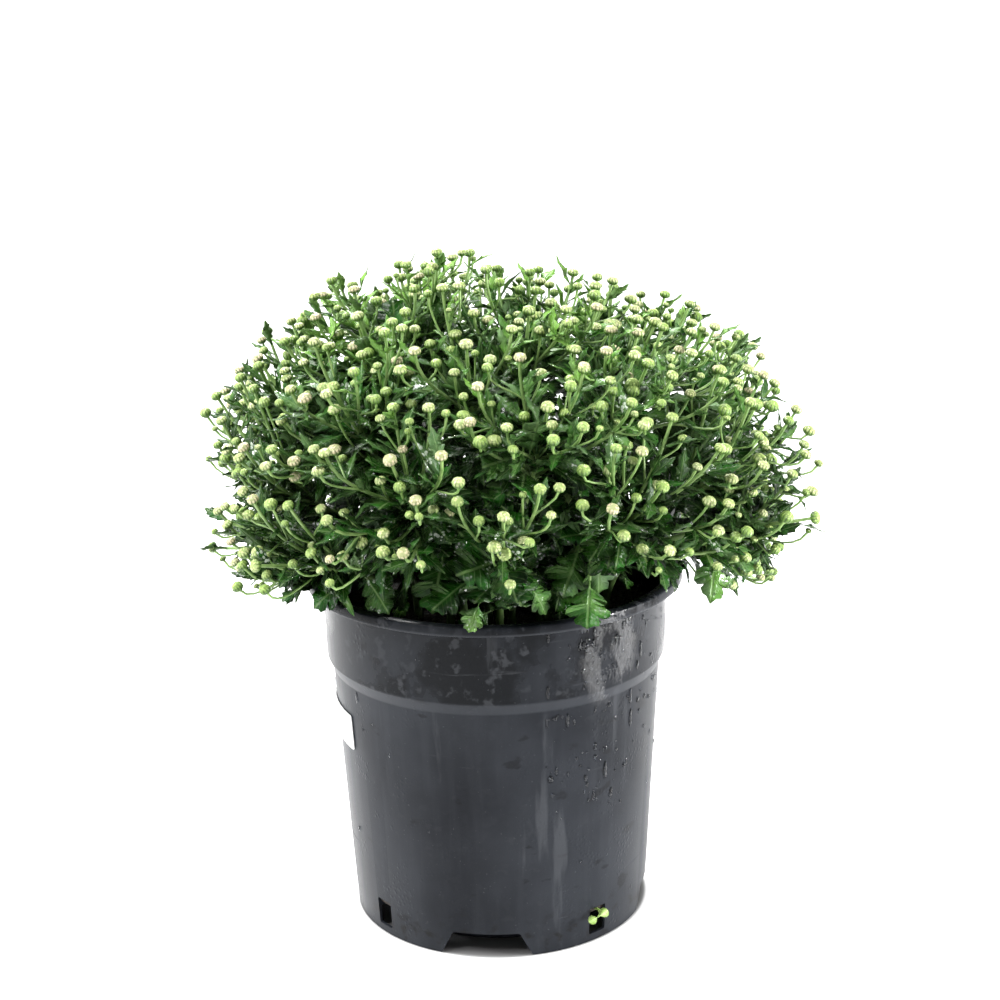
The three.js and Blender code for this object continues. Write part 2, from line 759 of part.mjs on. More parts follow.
// A leaf's own frame: where it starts, which way it points, and which way its upper face looks.
function leafFrame(start, direction, length, kind, fall) {
  const ahead = direction.clone().normalize();
  const skyward = sum(outward(start), UP, 1.2);
  const face = sum(skyward, ahead, -skyward.dot(ahead)).normalize();
  return { start, ahead, face, side: face.clone().cross(ahead), length, kind, fall };
}

// A point on a leaf, at shares of its length and of its half width.
function onLeaf(leaf, along, over) {
  const width = (leaf.length * leaf.kind.width) / 2;
  return sum(leaf.start, leaf.ahead, leaf.length * along * (1 - 0.18 * leaf.fall * along))
    .addScaledVector(leaf.side, width * over)
    .addScaledVector(leaf.face, 0.22 * width * Math.abs(over) - leaf.length * leaf.fall * along * along);
}

function leafBalls(leaf) {
  const list = [];
  const rows = Math.ceil(leaf.length / 3.6);
  for (let row = 1; row <= rows; row++) {
    const along = row / rows;
    const half = halfWidthAt(leaf.kind.half, along);
    const width = (leaf.length * leaf.kind.width) / 2;
    const columns = Math.max(1, Math.round((half * width) / 3.2));
    for (let column = -columns; column <= columns; column++) {
      list.push([onLeaf(leaf, along, (half * column) / columns), 1.9]);
    }
  }
  return list;
}

function halfWidthAt(half, along) {
  for (let k = 0; k + 1 < half.length; k++) {
    const [x0, y0] = half[k];
    const [x1, y1] = half[k + 1];
    if (along <= x1) {
      return y0 + ((y1 - y0) * (along - x0)) / (x1 - x0);
    }
  }
  return 0;
}

// A short leaf stalk, and a blade whose two faces share its outline and stand apart along the midrib.
function addLeaf(body, base, leaf) {
  const { half, rib } = leaf.kind;
  const thick = (along, way) => addPoint(body, sum(onLeaf(leaf, along, 0), leaf.face, way));
  const [[start, over]] = half;
  const neck = [
    thick(start, BLADE_THICKNESS / 2),
    addPoint(body, sum(onLeaf(leaf, start, -over), leaf.face, -0.3)),
    addPoint(body, sum(onLeaf(leaf, start, over), leaf.face, -0.3)),
  ];
  const apart = (a, b) => body.points[a].distanceTo(body.points[b]);
  const span = (shift) => neck.reduce((total, index, k) => total + apart(index, base[(k + shift) % 3]), 0);
  const shift = [0, 1, 2].reduce((best, k) => (span(k) < span(best) ? k : best));
  addBand(body, [0, 1, 2].map((k) => base[(k + shift) % 3]), neck);
  const tip = addPoint(body, onLeaf(leaf, 1, 0));
  const edges = [1, -1].map((sign) => {
    const between = half.slice(1, -1);
    const middle = between.map(([along, width]) => addPoint(body, onLeaf(leaf, along, sign * width)));
    return { sign, edge: [neck[sign > 0 ? 2 : 1], ...middle, tip] };
  });
  for (const way of [1, -1]) {
    const ribs = rib.map((along) => thick(along, (way * BLADE_THICKNESS) / 2));
    const places = way > 0 ? [start, ...rib] : rib;
    if (way > 0) {
      ribs.unshift(neck[0]);
    } else {
      body.faces.push([ribs[0], neck[1], neck[2]]);
    }
    for (const { sign, edge } of edges) {
      const turn = (a, b, c) => body.faces.push(way * sign > 0 ? [a, b, c] : [a, c, b]);
      let j = 0;
      for (let i = 0; i + 1 < edge.length; i++) {
        while (j + 1 < ribs.length && half[i][0] > (places[j] + places[j + 1]) / 2) {
          turn(ribs[j], ribs[j + 1], edge[i]);
          j++;
        }
        turn(ribs[j], edge[i + 1], edge[i]);
      }
    }
  }
}

function growLeaf(stem, owner, carrier, wanted, direction, length, kind, fall) {
  const ahead = direction.clone().normalize();
  const spot = bestSpot(stem.body, carrier, wanted, ahead);
  if (!spot) {
    return false;
  }
  const leaf = leafFrame(spot.centre, sum(ahead, spot.normal, 0.3), length, kind, fall);
  const list = leafBalls(leaf);
  if (!isClear(list, owner) || !graft(stem.body, spot, 0.7, (ring) => addLeaf(stem.body, ring, leaf))) {
    return false;
  }
  occupy(list, owner);
  stem.leaves++;
  return true;
}

function leafOnPath(stem, owner, carrier, t, turn, length, kind, fall) {
  const axis = heading(carrier.path, t);
  const [side, other] = across(axis);
  for (let attempt = 0; attempt < 12; attempt++) {
    const angle = rad(turn + 47 * attempt);
    const direction = axis
      .clone()
      .multiplyScalar(0.62)
      .addScaledVector(side, Math.cos(angle) * 0.8)
      .addScaledVector(other, Math.sin(angle) * 0.8);
    const size = length * (1 - 0.04 * attempt);
    if (growLeaf(stem, owner, carrier, cubic(carrier.path, t), direction, size, kind, fall)) {
      return;
    }
  }
}

function skirtLeaves(stems) {
  for (const { azimuth, length, fall } of SKIRT_LEAVES) {
    const edge = around(RIM_RADIUS - 2, azimuth, POT_HEIGHT + 14);
    let best = null;
    stems.forEach((stem, owner) => {
      for (let t = 0.2; t < 0.7; t += 0.05) {
        const start = cubic(stem.path, t);
        const far = start.distanceTo(edge);
        if (!best || far < best.far) {
          best = { stem, owner, start, far };
        }
      }
    });
    for (let attempt = 0; attempt < 9; attempt++) {
      const swing = 16 * (attempt % 2 ? 1 : -1) * Math.ceil(attempt / 2);
      const aim = around(RIM_RADIUS + 14, azimuth + swing, POT_HEIGHT + 16);
      const direction = aim.sub(best.start);
      const reach = Math.max(length, 0.55 * direction.length() + 0.6 * length);
      const carrier = best.stem.carriers[0];
      if (growLeaf(best.stem, best.owner, carrier, best.start, direction, reach, LOBED_LEAF, fall * 0.45)) {
        break;
      }
    }
  }
}

function growLeaves(stems) {
  skirtLeaves(stems);
  stems.forEach((stem, owner) => {
    const draw = draws(SEED + 3000 + owner);
    const [main] = stem.carriers;
    for (let n = 0; n < LOBED.count; n++) {
      const t = LOBED.from + LOBED.step * n + 0.04 * draw();
      const length = LOBED.length - LOBED.less * n + LOBED.varies * draw();
      const turn = GOLDEN_ANGLE * n + 360 * draw();
      leafOnPath(stem, owner, main, t, turn, length, LOBED_LEAF, LOBED.fall);
    }
    stem.carriers.forEach((carrier) => {
      for (const t of carrier === main ? NARROW.onStem : NARROW.onShoot) {
        const length = within(NARROW.length, draw);
        leafOnPath(stem, owner, carrier, t + 0.1 * draw(), 360 * draw(), length, LANCE_LEAF, NARROW.fall);
      }
    });
  });
}

// ---------------------------------------------------------------- the seedling in the slot
function seedling() {
  const { azimuth, z, root, bend, reach, top, radius, leaf } = SEEDLING;
  const body = { points: [], faces: [], spots: [] };
  const start = around(root, azimuth, z);
  const ring = addRing(body, start, around(1, azimuth, 0), UP, radius);
  body.faces.push([...ring].reverse());
  const points = [around(bend - 4, azimuth, z), around(bend, azimuth, z + 0.3), around(reach, azimuth, top)];
  const carrier = { root: start };
  addRod(body, ring, points, [radius, radius, radius], carrier, null);
  for (const way of [1, -1]) {
    const direction = around(1, azimuth + 90 * way, 0.1);
    const spot = bestSpot(body, carrier, points[2], direction);
    const pair = leafFrame(spot.centre, direction, leaf, ROUND_LEAF, 0.1);
    graft(body, spot, 0.5, (base) => addLeaf(body, base, pair));
  }
  return body;
}

// ---------------------------------------------------------------- the scene graph
const FINISH = {
  pot_plastic: { color: 0x35383c, roughness: 0.42, metalness: 0 },
  potting_mix: { color: 0x2a211a, roughness: 0.95, metalness: 0 },
  label_film: { color: 0xf4f4f2, roughness: 0.5, metalness: 0 },
  leafy_green: { color: 0x47783a, roughness: 0.55, metalness: 0 },
  seedling_green: { color: 0xb9d268, roughness: 0.5, metalness: 0 },
};

function piece(name, geometry, finish) {
  const material = new THREE.MeshStandardMaterial({ ...FINISH[finish], flatShading: true });
  const mesh = new THREE.Mesh(geometry, material);
  mesh.name = name;
  return mesh;
}

const stems = mainStems();
growLimbs(stems);
growLeaves(stems);

const chrysanthemum = new THREE.Group();
chrysanthemum.add(piece("pot", geometryOf(pot()), "pot_plastic"));
chrysanthemum.add(piece("potting_mix", geometryOf(soil(stems)), "potting_mix"));
chrysanthemum.add(piece("label", geometryOf(label()), "label_film"));
chrysanthemum.add(piece("seedling", surfaceOf(seedling()), "seedling_green"));
stems.forEach((stem, i) => {
  const name = "leafy_stem_" + String(i + 1).padStart(2, "0");
  chrysanthemum.add(piece(name, surfaceOf(stem.body), "leafy_green"));
});

export default chrysanthemum;
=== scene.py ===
"""A pot chrysanthemum in bud: the finished looks of the plant, its pot and the mix it stands in."""
import json
import math

import bmesh
import bpy
import numpy as np
from mathutils import Matrix, Vector

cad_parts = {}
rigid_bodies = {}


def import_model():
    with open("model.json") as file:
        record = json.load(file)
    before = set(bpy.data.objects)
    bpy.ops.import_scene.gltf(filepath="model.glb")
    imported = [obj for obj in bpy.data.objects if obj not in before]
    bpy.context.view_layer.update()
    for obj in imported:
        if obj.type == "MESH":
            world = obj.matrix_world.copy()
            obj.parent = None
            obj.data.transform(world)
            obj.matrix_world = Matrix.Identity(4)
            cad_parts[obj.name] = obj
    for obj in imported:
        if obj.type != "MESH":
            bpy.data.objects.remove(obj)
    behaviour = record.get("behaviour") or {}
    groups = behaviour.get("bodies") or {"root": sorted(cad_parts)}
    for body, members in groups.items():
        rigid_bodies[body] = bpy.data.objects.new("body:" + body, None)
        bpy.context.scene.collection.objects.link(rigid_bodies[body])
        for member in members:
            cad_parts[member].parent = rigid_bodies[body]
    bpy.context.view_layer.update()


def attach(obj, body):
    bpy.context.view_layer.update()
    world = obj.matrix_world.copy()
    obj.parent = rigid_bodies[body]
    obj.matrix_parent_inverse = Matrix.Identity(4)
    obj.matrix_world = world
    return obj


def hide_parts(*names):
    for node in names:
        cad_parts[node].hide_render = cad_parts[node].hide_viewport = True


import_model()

MM = 0.001
scene = bpy.context.scene

# ------------------------------------------------------------------ sizes, in millimetres
# The pot
POT_HEIGHT = 190
RIM_RADIUS = 100
LIP_LOW_Z = 184.5
BAND_TOP_RADIUS = 91.6
BAND_LOW_RADIUS = 90.5
BAND_LOW_Z = 145.5
BODY_TOP_RADIUS = 87.4
BODY_TOP_Z = 138.5
BASE_RADIUS = 79.3
WALL = 1.6
FLOOR_UNDERSIDE_Z = 14
FLOOR_THICKNESS = 2
FLOOR_TOP_Z = FLOOR_UNDERSIDE_Z + FLOOR_THICKNESS
WELL = {"radius": 61, "z": 1.2}  # the middle of the pot's base, which drops inside the foot ring
POT_SIDES = 176
FOOT_TURN = -96
ARCH = {"low": 50, "high": 35, "top": 13.6, "deep": 12}
SLOT = {"width": 11, "low": 4.5, "high": 19.5, "deep": 7}
DUST_TOP_Z = 35  # how far up the wall dirt from the floor has splashed
# Where the pot is wettest: the centre of each place, and how far it reaches each way.
SOAK = ((-8, -92, 158), (62, 40, 36))
SPLASH = ((57, -71, 172), (27, 27, 50))

# The potting mix, the label and the seedling
SOIL_TOP_Z = 165
LABEL = {"low": 102, "high": 121.5, "from": 208.5, "to": 165, "thickness": 0.5, "corner": 1.2}
LABEL_GAP = 0.35
SEEDLING = {
    "azimuth": -51,
    "z": 17.8,
    "root": 70,
    "bend": 85.5,
    "reach": 87.5,
    "top": 18.4,
    "leaf": 7.4,
    "swing": -3.8,
}

# The plant, grown by the same rule as the frame's leafy stems
SEED = 85
GOLDEN_ANGLE = 137.508
DOME_STEMS = 24
DOME_POLAR = 84
MOUND_Z = 200
MOUND_REACH = 154
STANCE = 50
TRAILING_STANCE = 63
FIRST_AZIMUTH = 20
STEM_RADIUS = 2.4
SHOOT_RADIUS = 1.0
STALK_RADIUS = 0.65
TOTAL_SHOOTS = 228
FRAME_SHOOTS = 76  # the first of them, which the frame has too
SHOOT_POLAR = 97
CANDIDATES = 9
PAINTED_LIGHT_RISE = 128  # how far above the mound's middle the leaves reach full painted light
FRONT_LIFT = 0.24  # how far the lower edge is drawn up at the front, as a share of the polar angle
# The mound's outline, as shares of its reach: the crown, the shoulders below it (over a polar angle), how far
# crown and shoulders lean apart sideways, and the foot drawn in under them (from one angle over another).
OUTLINE = {
    "crown": 0.965,
    "bulge": 0.12,
    "over": 112,
    "lean": 0.05,
    "tuck": 0.08,
    "tuck_from": 70,
    "tuck_over": 20,
}
# How far a growing tip turns upwards
LIFT = {"dome": 0.7, "trailing": 0.1, "shoot": 1.0, "upper": 1.7, "stalk": 1.6}
TRAILING_STEMS = [
    {"azimuth": -25, "polar": 79, "reach": 176},
    {"azimuth": -88, "polar": 74, "reach": 152},
    {"azimuth": -142, "polar": 82, "reach": 146},
    {"azimuth": 158, "polar": 96, "reach": 170},
    {"azimuth": 96, "polar": 92, "reach": 148},
    {"azimuth": 36, "polar": 94, "reach": 156},
]
# Leaves that hang out over the rim: azimuth, reach and height of the tip, blade length, shade, whether lobed.
SKIRT_LEAVES = [
    (-168, 122, 190, 36, 0.30, True),
    (-158, 114, 198, 26, 0.60, True),
    (-146, 108, 197, 24, 0.20, True),
    (-131, 109, 190, 24, 0.70, False),
    (-120, 104, 197, 24, 0.25, True),
    (-108, 100, 198, 24, 0.10, True),
    (-97, 108, 190, 16, 0.74, True),
    (-86, 100, 199, 24, 0.20, True),
    (-74, 104, 197, 22, 0.55, True),
    (-66, 110, 188, 24, 0.62, True),
    (-58, 101, 200, 26, 0.50, True),
    (-24, 122, 208, 30, 0.90, True),
    (-14, 134, 217, 32, 0.65, True),
    (-8, 150, 222, 30, 0.50, True),
    (-4, 166, 232, 24, 0.60, False),
    (-176, 134, 210, 30, 0.35, True),
    (10, 118, 196, 30, 0.30, True),
    (34, 116, 194, 32, 0.35, True),
    (58, 120, 196, 34, 0.35, True),
    (84, 116, 194, 30, 0.50, True),
    (110, 118, 195, 32, 0.30, True),
    (132, 116, 196, 34, 0.30, True),
    (154, 120, 195, 28, 0.60, True),
    (-45, 152, 208, 34, 0.72, True),
    (-36, 153, 212, 34, 0.55, True),
    (-26, 160, 230, 30, 0.50, True),
]
UNDERGROWTH = 110
INNER_LEAVES = 540
INNER_POLAR = 92
LANCE_KINDS = 3
LOBED_KINDS = 3
# Bud radii: the least, and how much more at most.
BUD_RADII = {"stem_tip": (3.4, 0.7), "shoot_tip": (2.9, 1.1), "stalked": (2.4, 1.2), "tiny": (1.6, 0.8)}
# Leaf lengths: at the foot of a stem or shoot, how much less at its tip, and how much more by chance.
LEAF_LENGTHS = {
    "lobed_on_stem": (33, 12, 5),
    "lance_on_stem": (26, 14, 7),
    "lobed_on_shoot": (22, 0, 8),
    "lance_on_shoot": (20, 9, 8),
}
LEAVES_PER_SHOOT = 9
STEM_LEAF_STEP = 7.5
# Where the undergrowth leaves a gap at the front: the middle of the gap, its half width and its inner end.
CLEARING = {"azimuth": -46, "half_width": 12, "from": 62}
CRUMB_KINDS = 3
CRUMBS = 700
CRUMB_REACH = 86
POT_DROPS = 230
# The beads on the leaves, in metres: how many to a square metre, up to what height, and how large.
LEAF_BEADS = {"Density": 6000.0, "Highest": 0.32, "Smallest": 0.00026, "Largest": 0.00078}

# Mottled colours: the darkest, the lightest, how fine the patches are, how fine the grain is, and how strong.
MOTTLES = {
    "old_and_shaded_leaf": ((0.003, 0.018, 0.002), (0.013, 0.054, 0.004), 120, 900, 0.5),
    "grown_leaf": ((0.019, 0.074, 0.009), (0.070, 0.165, 0.032), 150, 900, 0.7),
    "young_and_lit_leaf": ((0.100, 0.250, 0.022), (0.215, 0.395, 0.085), 110, 900, 0.4),
    "bark": ((0.008, 0.020, 0.004), (0.034, 0.072, 0.013), 200, 900, 0.6),
    "fresh_stem": ((0.140, 0.265, 0.058), (0.275, 0.420, 0.130), 220, 900, 0.5),
    "green_crown": ((0.28, 0.44, 0.08), (0.50, 0.64, 0.20), 260, 900, 0.4),
    "cream_crown": ((0.46, 0.54, 0.18), (0.80, 0.80, 0.46), 260, 900, 0.4),
    "bracts": ((0.050, 0.120, 0.014), (0.130, 0.250, 0.036), 300, 900, 0.5),
    "charcoal": ((0.009, 0.0105, 0.014), (0.022, 0.0245, 0.030), 13, 2600, 0.35),
    "potting_mix": ((0.008, 0.006, 0.004), (0.040, 0.028, 0.018), 180, 700, 1.2),
    "film": ((0.80, 0.80, 0.79), (0.88, 0.88, 0.87), 30, 2200, 0.3),
    "seed_leaf": ((0.22, 0.36, 0.07), (0.36, 0.50, 0.16), 300, 900, 0.4),
    "floor": ((0.447, 0.447, 0.447), (0.453, 0.453, 0.453), 2, 300, 0.2),
}
# Plain colours that lie over the mottled ones
TINTS = {
    "dusky_leaf": (0.120, 0.200, 0.092),
    "deep_leaf": (0.010, 0.085, 0.004),
    "vein": (0.24, 0.36, 0.14),
    "leaf_back": (0.10, 0.17, 0.06),
    "wet_glint": (0.62, 0.70, 0.58),
    "opening_petal": (0.74, 0.58, 0.42),
    "between_petals": (0.150, 0.240, 0.050),
    "between_bracts": (0.040, 0.090, 0.014),
    "streak_and_step_highlight": (0.046, 0.050, 0.058),
    "soaked": (0.0016, 0.0021, 0.0030),
    "dried": (0.060, 0.063, 0.070),
    "smudge": (0.005, 0.005, 0.006),
    "lip_edge_highlight": (0.060, 0.064, 0.072),
    "scuff": (0.11, 0.115, 0.125),
    "dirt": (0.006, 0.005, 0.004),
    "rubbed_film": (0.5, 0.5, 0.5),
    "seed_rib": (0.46, 0.56, 0.26),
    "water": (0.95, 0.97, 1.0),
    "painted_shadow_floor": (0.16, 0.16, 0.16),
    "white": (1, 1, 1),
    "black": (0, 0, 0),
}

# The view
CAMERA_PLACE = (3.75, -1031, 526)
CAMERA_PITCH = 16.27
CAMERA_ROLL = -1.23
CAMERA_LENS = 73.3
FLOOR_REACH = 40000
ROOM_LIGHT = 0.36
FLOOR_GLOW = 0.78
UNDER_POT_REACH = 160  # within about half of this from the pot's middle, the floor has a painted shadow
LAMP_AIM = (0, 0, 0.25)
# Lamps: name, kind, place in metres, size (degrees for the sun, metres for the others) and power.
LAMPS = [
    ("ceiling", "SUN", (-0.80, -0.34, 2.0), 40, 4.5),
    ("key", "AREA", (-0.8, -1.2, 1.6), 0.24, 12),
    ("side", "AREA", (1.25, -0.35, 0.33), 0.30, 31),
    ("flank", "AREA", (-1.30, 0.15, 0.62), 0.40, 20),
    ("back", "AREA", (-0.30, 1.3, 1.6), 0.5, 66),
]

# ------------------------------------------------------------------ small tools
UP = np.array((0.0, 0.0, 1.0))


def draws(seed):
    """A seeded stream of numbers from 0 to 1, the same as the frame's."""
    state = seed % 2147483647

    def draw():
        nonlocal state
        state = state * 48271 % 2147483647
        return state / 2147483647

    return draw


def unit(vector):
    return vector / np.linalg.norm(vector)


def sine(degrees):
    return math.sin(math.radians(degrees))


def cosine(degrees):
    return math.cos(math.radians(degrees))


def around(radius, azimuth, z):
    return np.array((radius * cosine(azimuth), radius * sine(azimuth), z))


def cubic(path, t):
    s = 1 - t
    return s**3 * path[0] + 3 * s * s * t * path[1] + 3 * s * t * t * path[2] + t**3 * path[3]


def heading(path, t):
    return unit(cubic(path, min(1, t + 0.01)) - cubic(path, max(0, t - 0.01)))


def outward(point):
    return unit(point - np.array((0, 0, MOUND_Z)))


def across(direction):
    side = np.array((-direction[1], direction[0], 0.0))
    if side @ side < 1e-6:
        side = np.array((0.0, 1.0, 0.0))
    side = unit(side)
    return side, np.cross(direction, side)


def swung(angle, side, other):
    """The direction at an angle from one axis towards another."""
    return math.cos(angle) * side + math.sin(angle) * other


def mesh_piece(name, vertices, faces, material, smooth=True):
    """A mesh object at the origin, from vertices in millimetres."""
    mesh = bpy.data.meshes.new(name)
    mesh.from_pydata([tuple(float(c) * MM for c in v) for v in vertices], [], faces)
    mesh.polygons.foreach_set("use_smooth", [smooth] * len(mesh.polygons))
    mesh.update()
    piece = bpy.data.objects.new(name, mesh)
    scene.collection.objects.link(piece)
    if material:
        mesh.materials.append(material)
    return piece


def outward_faces(mesh):
    """Turns a closed mesh's faces outwards."""
    work = bmesh.new()
    work.from_mesh(mesh)
    bmesh.ops.recalc_face_normals(work, faces=work.faces)
    work.to_mesh(mesh)
    work.free()


def settle(piece):
    """Makes what a piece's modifiers give its own plain mesh."""
    graph = bpy.context.evaluated_depsgraph_get()
    ready = piece.evaluated_get(graph)
    made = bpy.data.meshes.new_from_object(ready, preserve_all_data_layers=True, depsgraph=graph)
    piece.modifiers.clear()
    piece.data = made


# ------------------------------------------------------------------ shader building
class Shader:
    """A material or node group under construction."""

    def __init__(self, tree):
        self.tree = tree
        self.own_place = None

    def node(self, kind, inputs=None, **settings):
        made = self.tree.nodes.new(kind)
        for name, value in settings.items():
            setattr(made, name, value)
        for name, value in (inputs or {}).items():
            self.put(made.inputs[name], value)
        return made

    def put(self, socket, value):
        if isinstance(value, bpy.types.NodeSocket):
            self.tree.links.new(value, socket)
        elif isinstance(value, tuple) and len(value) == 3 and socket.type == "RGBA":
            socket.default_value = (*value, 1)
        else:
            socket.default_value = value

    def fill(self, sockets, **values):
        for name, value in values.items():
            self.put(sockets[name.replace("_", " ")], value)

    def math(self, operation, a, b=0.0, clamp=False):
        return self.node("ShaderNodeMath", {0: a, 1: b}, operation=operation, use_clamp=clamp).outputs[0]

    def times(self, a, b):
        return self.math("MULTIPLY", a, b)

    def plus(self, a, b):
        return self.math("ADD", a, b)

    def minus(self, a, b):
        return self.math("SUBTRACT", a, b)

    def from_half(self, value):
        return self.math("ABSOLUTE", self.minus(value, 0.5))

    def mix(self, factor, a, b):
        return self.node("ShaderNodeMix", {0: factor, 6: a, 7: b}, data_type="RGBA").outputs[2]

    def between(self, factor, a, b):
        return self.node("ShaderNodeMix", {0: factor, 2: a, 3: b}, data_type="FLOAT").outputs[0]

    def tint(self, colour, *layers):
        """A colour under layers, each a mask, a strength and the name of a tint."""
        for mask, strength, name in layers:
            colour = self.mix(self.times(mask, strength), colour, TINTS[name])
        return colour

    def ramp(self, value, low, high, from_value=0.0, to_value=1.0):
        ends = {"Value": value, "From Min": low, "From Max": high, "To Min": from_value, "To Max": to_value}
        return self.node("ShaderNodeMapRange", ends, clamp=True, interpolation_type="SMOOTHSTEP").outputs[0]

    def strip(self, height, *edges):
        """1 over a strip of heights, in millimetres: where it starts, is full, starts to fade, and ends."""
        start, full, fade, end = (edge * MM for edge in edges)
        return self.times(self.ramp(height, start, full), self.ramp(height, fade, end, 1.0, 0.0))

    def attribute(self, name):
        return self.node("ShaderNodeAttribute", attribute_name=name).outputs["Fac"]

    def split(self, vector):
        return self.node("ShaderNodeSeparateXYZ", {"Vector": vector}).outputs

    def map(self, name):
        """How far across and how far up a point lies on a piece's own map."""
        return self.split(self.node("ShaderNodeUVMap", uv_map=name).outputs[0])[:2]

    def place(self):
        """Where a point lies on its piece, read by one node in each tree."""
        if self.own_place is None:
            self.own_place = self.node("ShaderNodeTexCoord").outputs["Object"]
        return self.own_place

    def moved(self, stretch, shift):
        inputs = {"Vector": self.place(), "Scale": stretch, "Location": shift}
        return self.node("ShaderNodeMapping", inputs).outputs[0]

    def noise(self, scale, detail=2.0, stretch=(1, 1, 1), shift=(0, 0, 0)):
        inputs = {"Vector": self.moved(stretch, shift), "Scale": scale, "Detail": detail}
        return self.node("ShaderNodeTexNoise", inputs).outputs["Fac"]

    def cells(self, scale):
        return self.node("ShaderNodeTexVoronoi", {"Vector": self.place(), "Scale": scale}).outputs["Distance"]

    def near(self, centre, reach):
        """1 at a centre in millimetres, falling to 0 at a reach in millimetres each way."""
        moved = self.moved([1 / (r * MM) for r in reach], [-c / r for c, r in zip(centre, reach)])
        far = self.node("ShaderNodeVectorMath", {0: moved}, operation="LENGTH")
        return self.ramp(far.outputs["Value"], 0.0, 1.0, 1.0, 0.0)

    def bump(self, height, strength, distance, under=None):
        """A relief, over another one where there is one under it."""
        inputs = {"Height": height, "Strength": strength, "Distance": distance}
        if under is not None:
            inputs["Normal"] = under
        return self.node("ShaderNodeBump", inputs).outputs["Normal"]

    def group(self, group, **inputs):
        made = self.node("ShaderNodeGroup", node_tree=group)
        self.fill(made.inputs, **inputs)
        return made.outputs

    def mottle(self, name):
        dark, light, patches, fine, grain = MOTTLES[name]
        return self.group(MOTTLE, Dark=dark, Light=light, Patch_Scale=patches, Grain_Scale=fine, Grain=grain)


def new_tree(name, kind, inputs, outputs):
    """A node tree with named inputs, their first values and named outputs, and its two end nodes."""
    tree = bpy.data.node_groups.new(name, kind)
    for label, holds, start in inputs:
        socket = tree.interface.new_socket(label, in_out="INPUT", socket_type="NodeSocket" + holds)
        if start is not None:
            socket.default_value = start
    for label, holds in outputs:
        tree.interface.new_socket(label, in_out="OUTPUT", socket_type="NodeSocket" + holds)
    return Shader(tree), tree.nodes.new("NodeGroupInput").outputs, tree.nodes.new("NodeGroupOutput").inputs


def mottle_group():
    """Soft patches between two colours, with finer grain over them."""
    shader, given, result = new_tree(
        "Mottle",
        "ShaderNodeTree",
        [
            ("Dark", "Color", (0, 0, 0, 1)),
            ("Light", "Color", (1, 1, 1, 1)),
            ("Patch Scale", "Float", 60.0),
            ("Grain Scale", "Float", 900.0),
            ("Grain", "Float", 0.3),
        ],
        [("Color", "Color"), ("Height", "Float")],
    )
    patches = shader.ramp(shader.noise(given["Patch Scale"], 3.0), 0.32, 0.68)
    grain = shader.noise(given["Grain Scale"])
    share = shader.plus(patches, shader.times(shader.minus(grain, 0.5), given["Grain"]))
    share = shader.math("ADD", share, 0.0, clamp=True)
    shader.fill(result, Color=shader.mix(share, given["Dark"], given["Light"]), Height=grain)
    return shader.tree


def beads_group():
    """Fine water beads that stand on a wet surface."""
    shader, given, result = new_tree(
        "Water beads",
        "ShaderNodeTree",
        [("Scale", "Float", 700.0), ("Cover", "Float", 0.3)],
        [("Mask", "Float"), ("Height", "Float")],
    )
    cells = shader.cells(given["Scale"])
    limit = shader.times(shader.ramp(shader.noise(55.0), 0.46, 0.62), given["Cover"])
    mask = shader.ramp(shader.minus(limit, cells), 0.0, 0.05)
    shader.fill(result, Mask=mask, Height=shader.math("SUBTRACT", limit, cells, clamp=True))
    return shader.tree


def scuff_group():
    """Fine scratches and rubbed specks."""
    inputs = [("Amount", "Float", 0.5), ("Scale", "Float", 90.0)]
    shader, given, result = new_tree("Scuffs", "ShaderNodeTree", inputs, [("Mask", "Float")])
    upright = shader.ramp(shader.noise(given["Scale"], 6.0, (1.0, 1.0, 0.12)), 0.63, 0.72)
    level = shader.ramp(shader.noise(given["Scale"], 8.0, (0.2, 0.2, 2.4)), 0.66, 0.74)
    specks = shader.ramp(shader.noise(620.0), 0.70, 0.76)
    marks = shader.math("MAXIMUM", shader.math("MAXIMUM", upright, level), specks)
    shader.fill(result, Mask=shader.times(marks, given["Amount"]))
    return shader.tree


MOTTLE = mottle_group()
BEADS = beads_group()
SCUFFS = scuff_group()


def new_material(name):
    """A material, its tree, and the sockets of its surface."""
    material = bpy.data.materials.new(name)
    material.use_nodes = True
    surface = next(n for n in material.node_tree.nodes if n.type == "BSDF_PRINCIPLED")
    return material, Shader(material.node_tree), surface.inputs


def follow_grain(shader, surface, colour, grain, rough, strength, depth):
    """Fills a surface whose roughness and relief follow its grain."""
    rough = shader.ramp(grain, 0.3, 0.7, *rough)
    shader.fill(surface, Base_Color=colour, Roughness=rough, Normal=shader.bump(grain, strength, depth))


def leaf_uv(shader):
    """How far across the blade from its rib (0 to 1), and how far along it."""
    over, along = shader.map("blade")
    return shader.times(shader.from_half(over), 2.0), along


